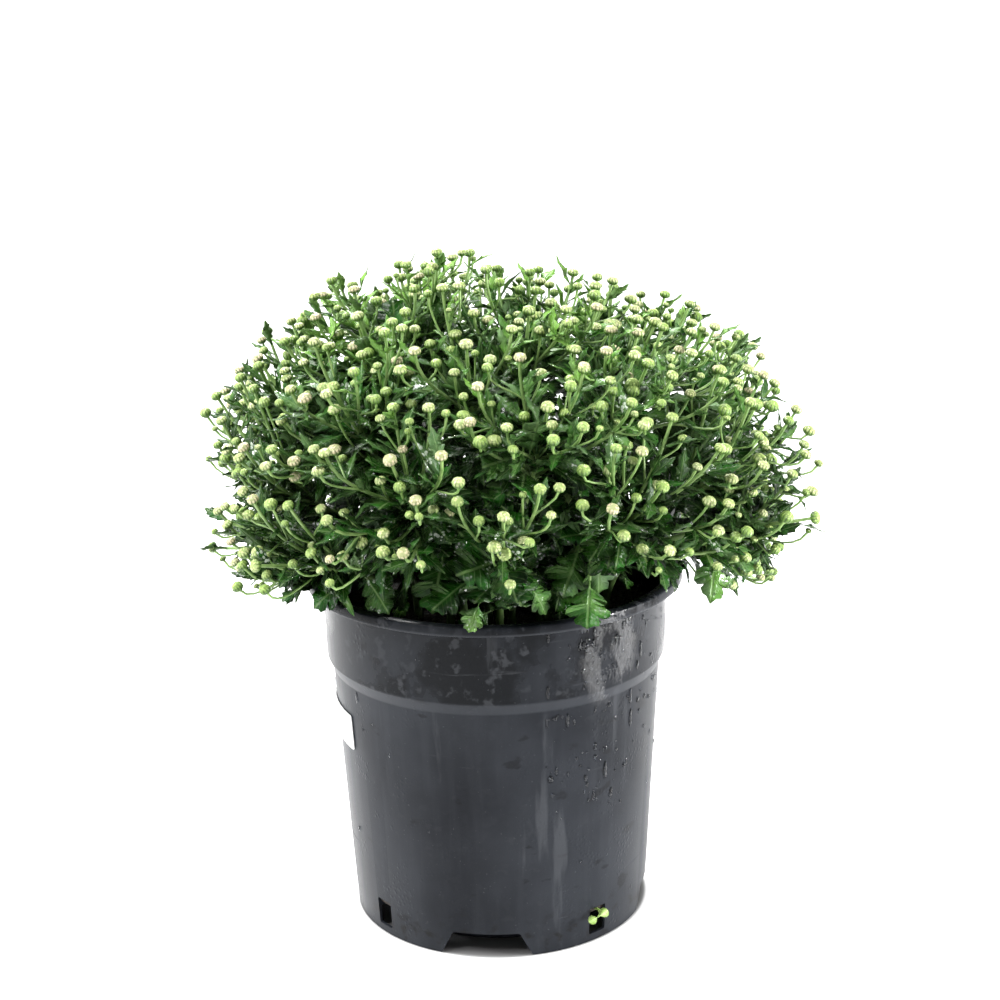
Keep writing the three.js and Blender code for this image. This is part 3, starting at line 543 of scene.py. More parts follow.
def leaf_material():
    """Dark to light by the shade value, which holds age, painted shade and painted light; veined, duller
    underneath, wet in places.
    """
    material, shader, surface = new_material("leaf_green")
    side, along = leaf_uv(shader)
    shade = shader.attribute("shade")
    old_and_shaded = shader.mottle("old_and_shaded_leaf")
    # old and shaded leaves dark, young and lit ones light: the shade value carries each leaf's age with its
    # painted shade and painted light
    colour = shader.mix(shader.ramp(shade, 0.05, 0.6), old_and_shaded["Color"], shader.mottle("grown_leaf")["Color"])
    colour = shader.mix(shader.ramp(shade, 0.6, 0.95), colour, shader.mottle("young_and_lit_leaf")["Color"])
    dusky = shader.times(shader.ramp(shader.noise(48.0, 1.0), 0.50, 0.62), shader.ramp(shade, 0.2, 0.6))
    deep = shader.ramp(shader.noise(60.0, 1.0, shift=(3, 5, 2)), 0.54, 0.66)
    colour = shader.tint(colour, (dusky, 0.6, "dusky_leaf"), (deep, 0.7, "deep_leaf"))
    # a pale midrib, and side veins that leave it at a slant
    rib = shader.ramp(side, 0.02, 0.09, 1.0, 0.0)
    slant = shader.minus(shader.times(along, 9.0), shader.times(side, 2.6))
    from_vein = shader.from_half(shader.math("FRACT", slant))
    lines = shader.math("MAXIMUM", rib, shader.times(shader.ramp(from_vein, 0.0, 0.12, 1.0, 0.0), 0.55))
    colour = shader.mix(shader.times(lines, 0.7), colour, shader.mix(0.45, colour, TINTS["vein"]))
    colour = shader.mix(shader.attribute("under"), colour, shader.mix(0.4, colour, TINTS["leaf_back"]))
    # painted glints: pale specks over the beads where the leaf is wettest
    beads = shader.group(BEADS, Scale=520.0, Cover=0.52)
    wet = shader.ramp(shader.noise(40.0, 1.0, shift=(7, 1, 4)), 0.55, 0.61)
    glints = shader.times(beads["Mask"], shader.times(wet, 0.5))
    rough = shader.ramp(shader.noise(70.0), 0.35, 0.65, 0.22, 0.44)
    relief = shader.bump(shader.minus(old_and_shaded["Height"], shader.times(lines, 0.9)), 0.7, 0.0005)
    shader.fill(
        surface,
        Base_Color=shader.mix(glints, colour, TINTS["wet_glint"]),
        Roughness=shader.between(beads["Mask"], rough, 0.06),
        Specular_IOR_Level=0.16,
        Coat_Weight=beads["Mask"],
        Coat_Roughness=0.05,
        Normal=shader.bump(beads["Height"], 0.9, 0.0008, relief),
    )
    return material


def stem_material():
    """Brown-green bark low down and fresh green higher up, finely ridged."""
    material, shader, surface = new_material("stem_green")
    bark, fresh = shader.mottle("bark")["Color"], shader.mottle("fresh_stem")["Color"]
    colour = shader.mix(shader.attribute("tint"), bark, fresh)
    ridges = shader.noise(900.0, 2.0, (1, 1, 0.1))
    follow_grain(shader, surface, colour, ridges, (0.38, 0.62), 0.5, 0.0002)
    return material


def bud_material():
    """Green bracts that rise round the bud as narrow ribs, and packed pale petal tips over the crown."""
    material, shader, surface = new_material("bud_green")
    turn, height = shader.map("globe")
    ripe = shader.attribute("ripe")
    waver = shader.noise(300.0)
    ribs = shader.plus(shader.times(turn, 11.0), shader.times(waver, 0.7))
    from_rib = shader.times(shader.from_half(shader.math("FRACT", ribs)), 2.0)
    groove = shader.times(shader.ramp(from_rib, 0.45, 0.9), shader.ramp(height, 0.55, 0.94, 1.0, 0.08))
    packed = shader.times(shader.ramp(shader.cells(720.0), 0.15, 0.65), shader.ramp(height, 0.5, 0.8))
    green, cream = shader.mottle("green_crown")["Color"], shader.mottle("cream_crown")["Color"]
    crown = shader.mix(shader.ramp(ripe, 0.2, 0.85), green, cream)
    crown = shader.mix(shader.ramp(ripe, 0.92, 1.0, 0.0, 0.8), crown, TINTS["opening_petal"])
    opened = shader.minus(0.80, shader.times(ripe, 0.28))
    cup = shader.ramp(shader.minus(height, opened), -0.30, 0.18, 1.0, 0.0)
    colour = shader.mix(cup, crown, shader.mottle("bracts")["Color"])
    colour = shader.tint(colour, (packed, 0.7, "between_petals"), (groove, 0.75, "between_bracts"))
    relief = shader.minus(shader.times(waver, 0.3), shader.plus(groove, packed))
    rough = shader.ramp(from_rib, 0.1, 0.7, 0.38, 0.58)
    shader.fill(surface, Base_Color=colour, Roughness=rough, Normal=shader.bump(relief, 0.9, 0.0005))
    return material


def pot_material():
    """Charcoal plastic, rubbed and streaked, wet round the band, with a splash under the rim at one side and
    painted highlights on the step and the lip's lower edge.
    """
    material, shader, surface = new_material("pot_charcoal")
    height = shader.split(shader.place())[2]
    base = shader.mottle("charcoal")
    streaks = shader.noise(150.0, 4.0, (1, 1, 0.05))
    scuffs = shader.group(SCUFFS, Amount=0.6, Scale=70.0)["Mask"]
    upper = shader.ramp(height, (BAND_LOW_Z - 2) * MM, (BAND_LOW_Z + 1) * MM, 0.16, 1.0)
    soak = shader.near(*SOAK)
    patches = shader.plus(shader.noise(38.0, 7.0), shader.times(soak, 0.16))
    wet = shader.times(shader.ramp(patches, 0.48, 0.62, 0.4, 1.0), upper)
    dried = shader.times(shader.ramp(shader.noise(150.0, 9.0), 0.56, 0.68), wet)
    dust = shader.ramp(height, 0.0, DUST_TOP_Z * MM, 1.0, 0.0)
    # painted highlight on the step between the body and the band
    step = shader.strip(height, BODY_TOP_Z, BODY_TOP_Z + 1.5, BAND_LOW_Z - 1.5, BAND_LOW_Z + 0.7)
    # painted highlight along the lip's lower edge
    edge = shader.strip(height, LIP_LOW_Z - 0.5, LIP_LOW_Z + 0.1, LIP_LOW_Z + 0.7, LIP_LOW_Z + 1.5)
    colour = shader.tint(
        base["Color"],
        (shader.ramp(streaks, 0.42, 0.70), 0.13, "streak_and_step_highlight"),
        (wet, 0.88, "soaked"),
        (dried, 0.45, "dried"),
        (shader.ramp(shader.noise(55.0, 9.0, (1, 1, 1.8)), 0.64, 0.70), 0.55, "smudge"),
        (step, 0.4, "streak_and_step_highlight"),
        (edge, 0.4, "lip_edge_highlight"),
        (scuffs, 0.35, "scuff"),
        (shader.times(shader.ramp(shader.noise(160.0, 6.0), 0.52, 0.70), dust), 0.8, "dirt"),
    )
    rough = shader.between(shader.times(wet, 0.7), shader.ramp(streaks, 0.3, 0.7, 0.34, 0.39), 0.14)
    waves = shader.plus(shader.times(streaks, 0.12), shader.times(base["Height"], 0.25))
    relief = shader.bump(shader.minus(waves, shader.times(scuffs, 0.4)), 0.3, 0.0004)
    # the splash: a rippled film of water with beads in it
    splash = shader.near(*SPLASH)
    ripples = shader.noise(430.0, 3.0, (1, 1, 0.7))
    broken = shader.ramp(shader.noise(90.0, 3.0, (1, 1, 0.6)), 0.42, 0.54)
    film = shader.times(shader.ramp(splash, 0.08, 0.4), broken)
    relief = shader.bump(shader.times(ripples, film), 1.0, 0.0026, relief)
    beads = shader.group(BEADS, Scale=420.0, Cover=0.5)["Height"]
    splashed = shader.times(beads, shader.plus(shader.times(splash, 0.9), 0.25))
    shader.fill(
        surface,
        Base_Color=colour,
        Roughness=shader.plus(rough, shader.times(scuffs, 0.25)),
        Specular_IOR_Level=0.11,
        Coat_Weight=film,
        Coat_Roughness=0.08,
        Normal=shader.bump(splashed, 0.8, 0.0012, relief),
    )
    return material


def soil_material():
    material, shader, surface = new_material("moist_mix")
    mix = shader.mottle("potting_mix")
    follow_grain(shader, surface, mix["Color"], mix["Height"], (0.55, 0.95), 0.9, 0.001)
    return material


def label_material():
    material, shader, surface = new_material("white_film")
    film = shader.mottle("film")
    scuffs = shader.group(SCUFFS, Amount=0.3, Scale=80.0)["Mask"]
    colour = shader.mix(scuffs, film["Color"], TINTS["rubbed_film"])
    follow_grain(shader, surface, colour, film["Height"], (0.35, 0.5), 0.2, 0.0002)
    return material


def seedling_material():
    material, shader, surface = new_material("seed_leaf_lime")
    side, _ = leaf_uv(shader)
    green = shader.mottle("seed_leaf")
    colour = shader.mix(shader.ramp(side, 0.02, 0.12, 0.5, 0.0), green["Color"], TINTS["seed_rib"])
    follow_grain(shader, surface, colour, green["Height"], (0.35, 0.5), 0.4, 0.0002)
    return material


def water_material():
    material, shader, surface = new_material("water_clear")
    ripple = shader.ramp(shader.noise(500.0), 0.3, 0.7, 0.0, 0.06)
    shader.fill(
        surface, Base_Color=TINTS["water"], Metallic=0.0, Roughness=ripple, IOR=1.33, Transmission_Weight=1.0
    )
    return material


# ------------------------------------------------------------------ prototypes of what repeats
def distinct(face):
    return [vertex for i, vertex in enumerate(face) if vertex not in face[:i]]


def prototype_mesh(name, vertices, faces, uv_name, uvs, under=None):
    """A small smooth shape with a map of its own, and a flag on the faces of its underside."""
    mesh = bpy.data.meshes.new(name)
    mesh.from_pydata([tuple(v) for v in vertices], [], faces)
    mesh.polygons.foreach_set("use_smooth", [True] * len(mesh.polygons))
    layer = mesh.uv_layers.new(name=uv_name)
    layer.data.foreach_set("uv", np.array([corner for corners in uvs for corner in corners], float).ravel())
    if under is not None:
        flag = mesh.attributes.new("under", "FLOAT", "FACE")
        flag.data.foreach_set("value", under)
    mesh.update()
    return bpy.data.objects.new(name, mesh)


def blade(name, rows, width, thickness, fold, fall, wave, curl=0.0):
    """A leaf of unit length along +Y with its upper face towards +Z. Its two faces share one outline.

    rows holds, from the base to the tip: the place along the rib, the place along the edge, the half width.
    """
    vertices, uvs_of = [], []
    top, low = [], []

    def height_at(along, over):
        ripple = wave * math.sin(13 * along + (1.3 if over > 0 else 0)) * abs(over)
        return fold * abs(over) * width - fall * along * along + ripple - curl * over * over

    def add(along, over, half, lift):
        z = height_at(along, over * half) + lift
        vertices.append((over * half * width, along * (1 - 0.25 * fall * along), z))
        uvs_of.append((0.5 + 0.5 * over * half, along))
        return len(vertices) - 1

    for rib_at, edge_at, half in rows:
        if half == 0:
            tip = add(edge_at, 0, 0, 0)
            top.append([tip] * 3)
            low.append([tip] * 3)
            continue
        left, right = add(edge_at, -1, half, 0), add(edge_at, 1, half, 0)
        swell = thickness * (1.6 if half < 0.1 else 1)
        top.append([left, add(rib_at, 0, half, swell * 0.5), right])
        low.append([left, add(rib_at, 0, half, -swell * 0.5), right])
    faces, under = [], []
    for chains, step in ((top, 1), (low, -1)):
        for a, b in zip(chains, chains[1:]):
            for c in range(len(a) - 1):
                face = distinct([a[c], a[c + 1], b[c + 1], b[c]])
                if len(face) > 2:
                    faces.append(face[::step])
                    under.append(0.0 if step > 0 else 1.0)
    faces.append([*top[0][::-1], low[0][1]])
    under.append(1.0)
    uvs = [[uvs_of[v] for v in face] for face in faces]
    return prototype_mesh(name, vertices, faces, "blade", uvs, under)


def lance_rows(broad):
    """A plain lance shape, broadest nearer the base as the number falls."""
    places = (0.1, 0.24, 0.42, 0.6, 0.78, 0.91)
    rows = [(t, t, max(0.07, math.sin(math.pi * t**broad) ** 0.8)) for t in places]
    return [(0.0, 0.0, 0.10), *rows, (1, 1, 0)]


TOOTHED_ROWS = [
    (0.00, 0.00, 0.10),
    (0.14, 0.14, 0.26),
    (0.28, 0.32, 0.76),
    (0.36, 0.35, 0.54),
    (0.50, 0.55, 1.00),
    (0.60, 0.58, 0.70),
    (0.72, 0.77, 0.74),
    (0.82, 0.80, 0.42),
    (0.92, 0.93, 0.20),
    (1.00, 1.00, 0),
]
LOBED_ROWS = [
    (0.00, 0.00, 0.035),
    (0.15, 0.15, 0.05),
    (0.20, 0.22, 0.30),
    (0.26, 0.32, 0.66),
    (0.31, 0.43, 0.84),
    (0.36, 0.50, 0.74),
    (0.40, 0.50, 0.44),
    (0.45, 0.54, 0.70),
    (0.50, 0.62, 0.98),
    (0.56, 0.71, 1.00),
    (0.62, 0.77, 0.80),
    (0.66, 0.75, 0.46),
    (0.72, 0.82, 0.62),
    (0.80, 0.92, 0.54),
    (0.88, 0.93, 0.28),
    (1.00, 1.00, 0),
]
SEED_LEAF_ROWS = [
    (0, 0, 0.10),
    (0.18, 0.18, 0.12),
    (0.34, 0.34, 0.66),
    (0.55, 0.55, 1.0),
    (0.78, 0.78, 0.92),
    (0.93, 0.95, 0.5),
    (1, 1, 0),
]


def leaf_prototypes():
    """Three lance-shaped blades, then three lobed ones."""
    shapes = [
        (TOOTHED_ROWS, 0.17, 0.022, 0.30, 0.06, 0.05),
        (lance_rows(0.85), 0.13, 0.022, 0.45, 0.20, 0.04),
        (TOOTHED_ROWS, 0.21, 0.022, 0.20, -0.08, 0.06),
        (LOBED_ROWS, 0.36, 0.014, 0.25, 0.15, 0.05, 0.04),
        (LOBED_ROWS, 0.31, 0.014, 0.40, 0.34, 0.06, 0.06),
        (LOBED_ROWS, 0.40, 0.014, 0.14, 0.04, 0.07, 0.03),
    ]
    return [blade(f"leaf_{k}", *shape) for k, shape in enumerate(shapes)]


def bud_prototype(name, profile, segments, ridge):
    """A bud of unit radius that stands on its stalk at the origin, along +Z."""
    vertices, uvs = [], []
    total = profile[-1][1]
    for ring, (radius, z) in enumerate(profile[:-1]):
        for k in range(segments):
            swell = 1 + ridge * (1 if k % 2 else -1) * (1 if ring < 4 else -0.6)
            angle = 2 * math.pi * k / segments
            vertices.append((radius * swell * math.cos(angle), radius * swell * math.sin(angle), z))
    vertices.append((0, 0, total))
    faces = [list(range(segments))[::-1]]
    uvs.append([(k / segments, 0.0) for k in range(segments)][::-1])
    last = len(profile) - 2
    for ring in range(last + 1):
        low, high = profile[ring][1] / total, profile[ring + 1][1] / total
        for k in range(segments):
            a, b = ring * segments + k, ring * segments + (k + 1) % segments
            u0, u1 = k / segments, (k + 1) / segments
            if ring == last:
                faces.append([a, b, len(vertices) - 1])
                uvs.append([(u0, low), (u1, low), ((u0 + u1) / 2, 1.0)])
            else:
                faces.append([a, b, b + segments, a + segments])
                uvs.append([(u0, low), (u1, low), (u1, high), (u0, high)])
    return prototype_mesh(name, vertices, faces, "globe", uvs)


def bud_prototypes():
    """A tight bud, a flatter one and one whose crown has opened."""
    tight = [(0.24, -0.05), (0.60, 0.12), (0.92, 0.46), (1.0, 0.85), (0.80, 1.28), (0.42, 1.52), (0, 1.60)]
    flat = [(0.26, -0.05), (0.68, 0.10), (0.96, 0.40), (1.0, 0.76), (0.84, 1.10), (0.46, 1.32), (0, 1.38)]
    crowned = [(0.26, -0.05), (0.66, 0.10), (0.94, 0.38), (1.0, 0.74), (0.90, 1.08), (0.55, 1.30), (0, 1.34)]
    shapes = [(tight, 10, 0.02), (flat, 10, 0.035), (crowned, 12, 0.05)]
    return [bud_prototype(f"bud_{k}", *shape) for k, shape in enumerate(shapes)]


def bead_prototype():
    """A water bead of unit radius that sits on a surface facing +Z, closed underneath."""
    profile = [(0.86, -0.25), (1.0, 0.0), (0.8, 0.48), (0, 0.80)]
    return bud_prototype("bead_0", profile, 7, 0.0)


def hidden_collection(name, objects):
    collection = bpy.data.collections.new(name)
    for made in objects:
        collection.objects.link(made)
    return collection


# ------------------------------------------------------------------ geometry node trees
def shape_tree(name, inputs):
    """A geometry node tree that takes a shape and named inputs, and gives a shape."""
    inputs = [("Geometry", "Geometry", None), *inputs]
    return new_tree(name, "GeometryNodeTree", inputs, [("Geometry", "Geometry")])


def named(shader, name, kind):
    node = shader.node("GeometryNodeInputNamedAttribute", {"Name": name}, data_type=kind)
    return next(s for s in node.outputs if s.name == "Attribute" and s.enabled)


def made_real(shader, geometry, material):
    """Ends a tree's shape as one plain mesh with its material."""
    real = shader.node("GeometryNodeRealizeInstances", {"Geometry": geometry})
    given = {"Geometry": real.outputs[0], "Material": material}
    return shader.node("GeometryNodeSetMaterial", given).outputs[0]


def instances_on(shader, points, collection, material):
    """One prototype on each flagged point, turned and sized by the point's own values."""
    shelf = shader.node("GeometryNodeCollectionInfo", {"Collection": collection, "Separate Children": True})
    placed = shader.node(
        "GeometryNodeInstanceOnPoints",
        {
            "Points": points,
            "Selection": named(shader, "carries", "BOOLEAN"),
            "Instance": shelf.outputs[0],
            "Pick Instance": True,
            "Instance Index": named(shader, "kind", "INT"),
            "Rotation": named(shader, "turn", "QUATERNION"),
            "Scale": named(shader, "size", "FLOAT_VECTOR"),
        },
    )
    return made_real(shader, placed.outputs[0], material)


def rods_along(shader, lines, sides, material):
    """A closed rod along each line, as thick as its points say."""
    curve = shader.node("GeometryNodeMeshToCurve", {"Mesh": lines})
    profile = shader.node("GeometryNodeCurvePrimitiveCircle", {"Resolution": sides, "Radius": 1.0})
    rod = shader.node(
        "GeometryNodeCurveToMesh",
        {
            "Curve": curve.outputs[0],
            "Profile Curve": profile.outputs["Curve"],
            "Scale": named(shader, "thick", "FLOAT"),
            "Fill Caps": True,
        },
    )
    smooth = shader.node("GeometryNodeSetShadeSmooth", {"Geometry": rod.outputs[0]})
    return made_real(shader, smooth.outputs[0], material)


def greenery_tree():
    """Stems and stalks along the lines, and a leaf on each flagged point."""
    shader, given, result = shape_tree(
        "Leafy growth",
        [
            ("Rod Sides", "Int", 6),
            ("Leaves", "Collection", None),
            ("Stem Material", "Material", None),
            ("Leaf Material", "Material", None),
        ],
    )
    rods = rods_along(shader, given["Geometry"], given["Rod Sides"], given["Stem Material"])
    leaves = instances_on(shader, given["Geometry"], given["Leaves"], given["Leaf Material"])
    joined = shader.node("GeometryNodeJoinGeometry")
    for part in (rods, leaves):
        shader.tree.links.new(part, joined.inputs[0])
    shader.put(result["Geometry"], joined.outputs[0])
    return shader.tree


def scatter_tree():
    """A prototype on each flagged point."""
    inputs = [("Prototypes", "Collection", None), ("Material", "Material", None)]
    shader, given, result = shape_tree("Set on points", inputs)
    placed = instances_on(shader, given["Geometry"], given["Prototypes"], given["Material"])
    shader.put(result["Geometry"], placed)
    return shader.tree


def wet_tree():
    """Beads of water on the faces that look up, with a fixed seed."""
    shader, given, result = shape_tree(
        "Beads on leaves",
        [
            ("Beads", "Collection", None),
            ("Material", "Material", None),
            ("Density", "Float", 3000.0),
            ("Highest", "Float", 0.26),
            ("Smallest", "Float", 0.0003),
            ("Largest", "Float", 0.001),
            ("Seed", "Int", 0),
        ],
    )

    def compare(a, b, operation):
        made = shader.node("FunctionNodeCompare", {0: a, 1: b}, operation=operation, data_type="FLOAT")
        return made.outputs[0]

    facing = shader.split(shader.node("GeometryNodeInputNormal").outputs[0])[2]
    height = shader.split(shader.node("GeometryNodeInputPosition").outputs[0])[2]
    upward = compare(facing, 0.25, "GREATER_THAN")
    sunken = compare(height, given["Highest"], "LESS_THAN")
    chosen = shader.node("FunctionNodeBooleanMath", {0: upward, 1: sunken}, operation="AND")
    faces = {"Mesh": given["Geometry"], "Selection": chosen.outputs[0]}
    faces |= {"Density": given["Density"], "Seed": given["Seed"]}
    points = shader.node("GeometryNodeDistributePointsOnFaces", faces).outputs
    sizes = {2: given["Smallest"], 3: given["Largest"], "Seed": given["Seed"]}
    size = shader.node("FunctionNodeRandomValue", sizes, data_type="FLOAT").outputs[1]
    shelf = shader.node("GeometryNodeCollectionInfo", {"Collection": given["Beads"]}).outputs[0]
    stand = {"Points": points["Points"], "Rotation": points["Rotation"], "Instance": shelf, "Scale": size}
    placed = shader.node("GeometryNodeInstanceOnPoints", stand)
    shader.put(result["Geometry"], made_real(shader, placed.outputs[0], given["Material"]))
    return shader.tree


def run_tree(name, mesh, tree, values):
    """Runs a tree on a mesh and returns what it makes as a plain mesh object."""
    piece = bpy.data.objects.new(name, mesh)
    scene.collection.objects.link(piece)
    modifier = piece.modifiers.new(tree.name, "NODES")
    modifier.node_group = tree
    for item in tree.interface.items_tree:
        if item.item_type == "SOCKET" and item.in_out == "INPUT" and item.name in values:
            modifier[item.identifier] = values[item.name]
    settle(piece)
    piece.data.name = name
    return piece


# ------------------------------------------------------------------ how the plant grows
def shoot_path(start, leaving, end, lift):
    length = np.linalg.norm(start - end)
    ending = unit(outward(end) + lift * UP)
    return np.array((start, start + 0.3 * length * leaving, end - 0.35 * length * ending, end))


def cap_polar(share, widest):
    """The polar angle inside which a share of the mound's cap lies, where the cap reaches to the widest."""
    return math.degrees(math.acos(1 - share * (1 - cosine(widest))))


def from_middle(polar, azimuth, reach):
    flat = reach * sine(polar)
    return around(flat, azimuth, MOUND_Z + reach * cosine(polar))


def on_mound(polar, azimuth, reach):
    down = polar * (1 - FRONT_LIFT * max(0, -sine(azimuth)))
    shoulder = OUTLINE["bulge"] * sine(180 * down / OUTLINE["over"]) ** 4
    tuck = OUTLINE["tuck"] * min(1, max(0, (down - OUTLINE["tuck_from"]) / OUTLINE["tuck_over"]))
    side = 1 - OUTLINE["lean"] * cosine(azimuth) * cosine(2 * down)
    return from_middle(down, azimuth, reach * side * (OUTLINE["crown"] + shoulder - tuck))


def stem_path(stand, azimuth, tip, lift):
    foot = around(stand, azimuth, SOIL_TOP_Z + 4)
    return shoot_path(foot, 1.35 * UP, tip, lift)


def main_stems():
    stems = []
    for i in range(DOME_STEMS):
        draw = draws(SEED + i)
        share = (i + 0.5) / DOME_STEMS
        azimuth = FIRST_AZIMUTH + GOLDEN_ANGLE * i
        tip = on_mound(cap_polar(share, DOME_POLAR), azimuth, MOUND_REACH * (0.95 + 0.08 * draw()))
        stems.append({"path": stem_path(STANCE * math.sqrt(share), azimuth, tip, LIFT["dome"]), "tip": tip})
    for row in TRAILING_STEMS:
        tip = from_middle(row["polar"], row["azimuth"], row["reach"])
        path = stem_path(TRAILING_STANCE, row["azimuth"], tip, LIFT["trailing"])
        stems.append({"path": path, "tip": tip})
    return stems


def shoot_targets(tips):
    """Where the side shoots end: each new place is the candidate farthest from those before it."""
    draw = draws(SEED + 100)
    taken = np.array(tips)
    for _ in range(TOTAL_SHOOTS):
        best, widest = None, -1
        for _ in range(CANDIDATES):
            polar = cap_polar(draw(), SHOOT_POLAR)
            azimuth = 360 * draw()
            point = on_mound(polar, azimuth, MOUND_REACH * (1.02 - 0.15 * draw() * draw()))
            nearest = np.linalg.norm(taken - point, axis=1).min()
            if nearest > widest:
                widest, best = nearest, point
        taken = np.vstack((taken, best))
    return taken[len(tips):]


def clear_of_pot(point, radius):
    far = math.hypot(point[0], point[1])
    return (
        point[2] - radius > POT_HEIGHT + 1
        or far - radius > RIM_RADIUS + 1
        or (far + radius < BAND_LOW_RADIUS - WALL - 1 and point[2] - radius > SOIL_TOP_Z + 3)
    )


class Growth:
    """What has grown on one leafy stem: lines with a thickness, leaves, and buds."""

    def __init__(self):
        self.lines = []
        self.leaves = []
        self.buds = []

    def add_line(self, path, thick, tint, step=7.0):
        count = max(3, math.ceil(np.linalg.norm(path[0] - path[3]) / step))
        places = [cubic(path, k / count) for k in range(count + 1)]
        shares = np.linspace(0, 1, count + 1)
        self.lines.append((places, np.interp(shares, *thick), np.interp(shares, *tint)))

    def add_short_line(self, places, thick, tint):
        self.lines.append((places, np.array(thick), np.array(tint)))

    def add_leaf(self, start, ahead, length, kind, shade, draw, roll=25):
        """Sets a leaf unless it would run into the pot or the mix."""
        ahead = unit(ahead)
        if not all(clear_of_pot(start + ahead * length * share, 2.0) for share in (0.35, 0.7, 1.0)):
            return False
        skyward = outward(start) + 1.2 * UP
        face = unit(skyward - ahead * (skyward @ ahead))
        side = np.cross(ahead, face)
        angle = math.radians(roll * (2 * draw() - 1))
        face, side = swung(angle, face, side), swung(angle, side, -face)
        broad = 0.85 + 0.3 * draw()
        self.leaves.append((start, (side, ahead, face), (length * broad, length, length), kind, shade))
        return True

    def add_bud(self, place, axis, radius, kind, ripe, draw):
        side, other = across(axis)
        angle = 2 * math.pi * draw()
        side, other = swung(angle, side, other), swung(angle, other, -side)
        tall = radius * (0.92 + 0.14 * draw())
        self.buds.append((place, (side, other, axis), (radius, radius, tall), kind, ripe))


def leaf_beside(growth, path, t, turn, length, kind, shade, draw, spread=0.8):
    """A leaf at a place on a path, turned until it is clear of the pot, with painted shade deep in the mound
    and painted light on its top.
    """
    start = cubic(path, t)
    depth = np.linalg.norm(start - MOUND_Z * UP) / MOUND_REACH
    height = min(1.0, max(0.0, (start[2] - MOUND_Z) / PAINTED_LIGHT_RISE))
    # painted shade deepens towards the mound's middle and low down, and painted light raises the shade value
    # on top
    shade *= (0.02 + 1.05 * depth**1.8) * (0.20 + 0.90 * height**1.4)
    shade = min(1.0, shade + 1.15 * max(0.0, height - 0.55))
    axis = heading(path, t)
    side, other = across(axis)
    for attempt in range(8):
        ahead = 0.62 * axis + spread * swung(math.radians(turn + 47 * attempt), side, other)
        if growth.add_leaf(start, ahead, length * (1 - 0.05 * attempt), kind, shade, draw):
            return


def leaf_kind(lobed, draw):
    return LANCE_KINDS + int(LOBED_KINDS * draw()) if lobed else int(LANCE_KINDS * draw())


def leaf_length(place, t, draw):
    length, less, more = LEAF_LENGTHS[place]
    return length - less * t + more * draw()


def bud_radius(place, draw):
    least, more = BUD_RADII[place]
    return least + more * draw()


def ripeness(draw):
    return min(1.0, 0.12 + 0.96 * draw())


def grow_corymb(growth, path, draw, size, count):
    """The bud that ends a path, the stalked buds round it, and the small leaves under them."""
    tip, axis = path[3], heading(path, 1)
    ripe = ripeness(draw)
    growth.add_bud(tip, axis, size, 1 if ripe < 0.75 else 2, ripe, draw)
    side, other = across(axis)
    turn = 360 * draw()
    for _ in range(count):
        tiny = draw() < 0.3
        radius = bud_radius("tiny" if tiny else "stalked", draw)
        spread = (5 + 5 * draw()) if tiny else (7 + 9 * draw())
        back = 2 + 12 * draw()
        place = tip - back * axis + spread * swung(math.radians(turn), side, other)
        start = cubic(path, 0.5 + 0.3 * draw())
        turn += 360 / count + 50 * (draw() - 0.5)
        if not clear_of_pot(place, radius + 2):
            continue
        stalk = shoot_path(start, unit(place - start + 4 * axis), place, LIFT["stalk"])
        neck = 0.75 + 0.1 * radius / 3
        thick = [STALK_RADIUS * 0.8, STALK_RADIUS * neck, STALK_RADIUS * neck * 1.3]
        growth.add_line(stalk, ([0, 0.7, 1], thick), ([0, 1], [0.55, 1.0]), 5.0)
        ripe = ripeness(draw) * (0.6 if tiny else 1)
        growth.add_bud(place, heading(stalk, 1), radius, 0 if ripe < 0.5 else 1, ripe, draw)
        shade = 0.3 + 0.45 * draw()
        turned_to, length = 360 * draw(), 10 + 10 * draw()
        leaf_beside(growth, stalk, 0.04, turned_to, length, leaf_kind(False, draw), shade, draw, 0.45)
        if draw() < 0.6:
            t, turned_to, length = 0.4 + 0.2 * draw(), 360 * draw(), 6 + 5 * draw()
            leaf_beside(growth, stalk, t, turned_to, length, 1, shade, draw, 0.4)


def grow_main_stem(growth, path, draw):
    """A stem from below the mix to its tip, and the leaves up it."""
    foot = path[0] * (1, 1, 0) + (SOIL_TOP_Z - 20) * UP
    growth.add_short_line([foot, path[0]], [STEM_RADIUS] * 2, [0.1] * 2)
    thick = [STEM_RADIUS, STEM_RADIUS * 0.72, STALK_RADIUS * 1.2]
    growth.add_line(path, ([0, 0.5, 1], thick), ([0, 0.5, 1], [0.1, 0.45, 0.9]))
    grow_corymb(growth, path, draw, bud_radius("stem_tip", draw), 3)
    count = int(np.linalg.norm(path[0] - path[3]) / STEM_LEAF_STEP)
    for n in range(count):
        t = 0.14 + 0.82 * (n + 0.6 * draw()) / count
        lobed = t < 0.72
        size = leaf_length("lobed_on_stem" if lobed else "lance_on_stem", t, draw)
        kind = leaf_kind(lobed, draw)
        shade = (0.02 + 0.55 * t * draw() + 0.12 * t) if lobed else 0.3 + 0.4 * draw()
        leaf_beside(growth, path, t, GOLDEN_ANGLE * n + 60 * draw(), size, kind, shade, draw)


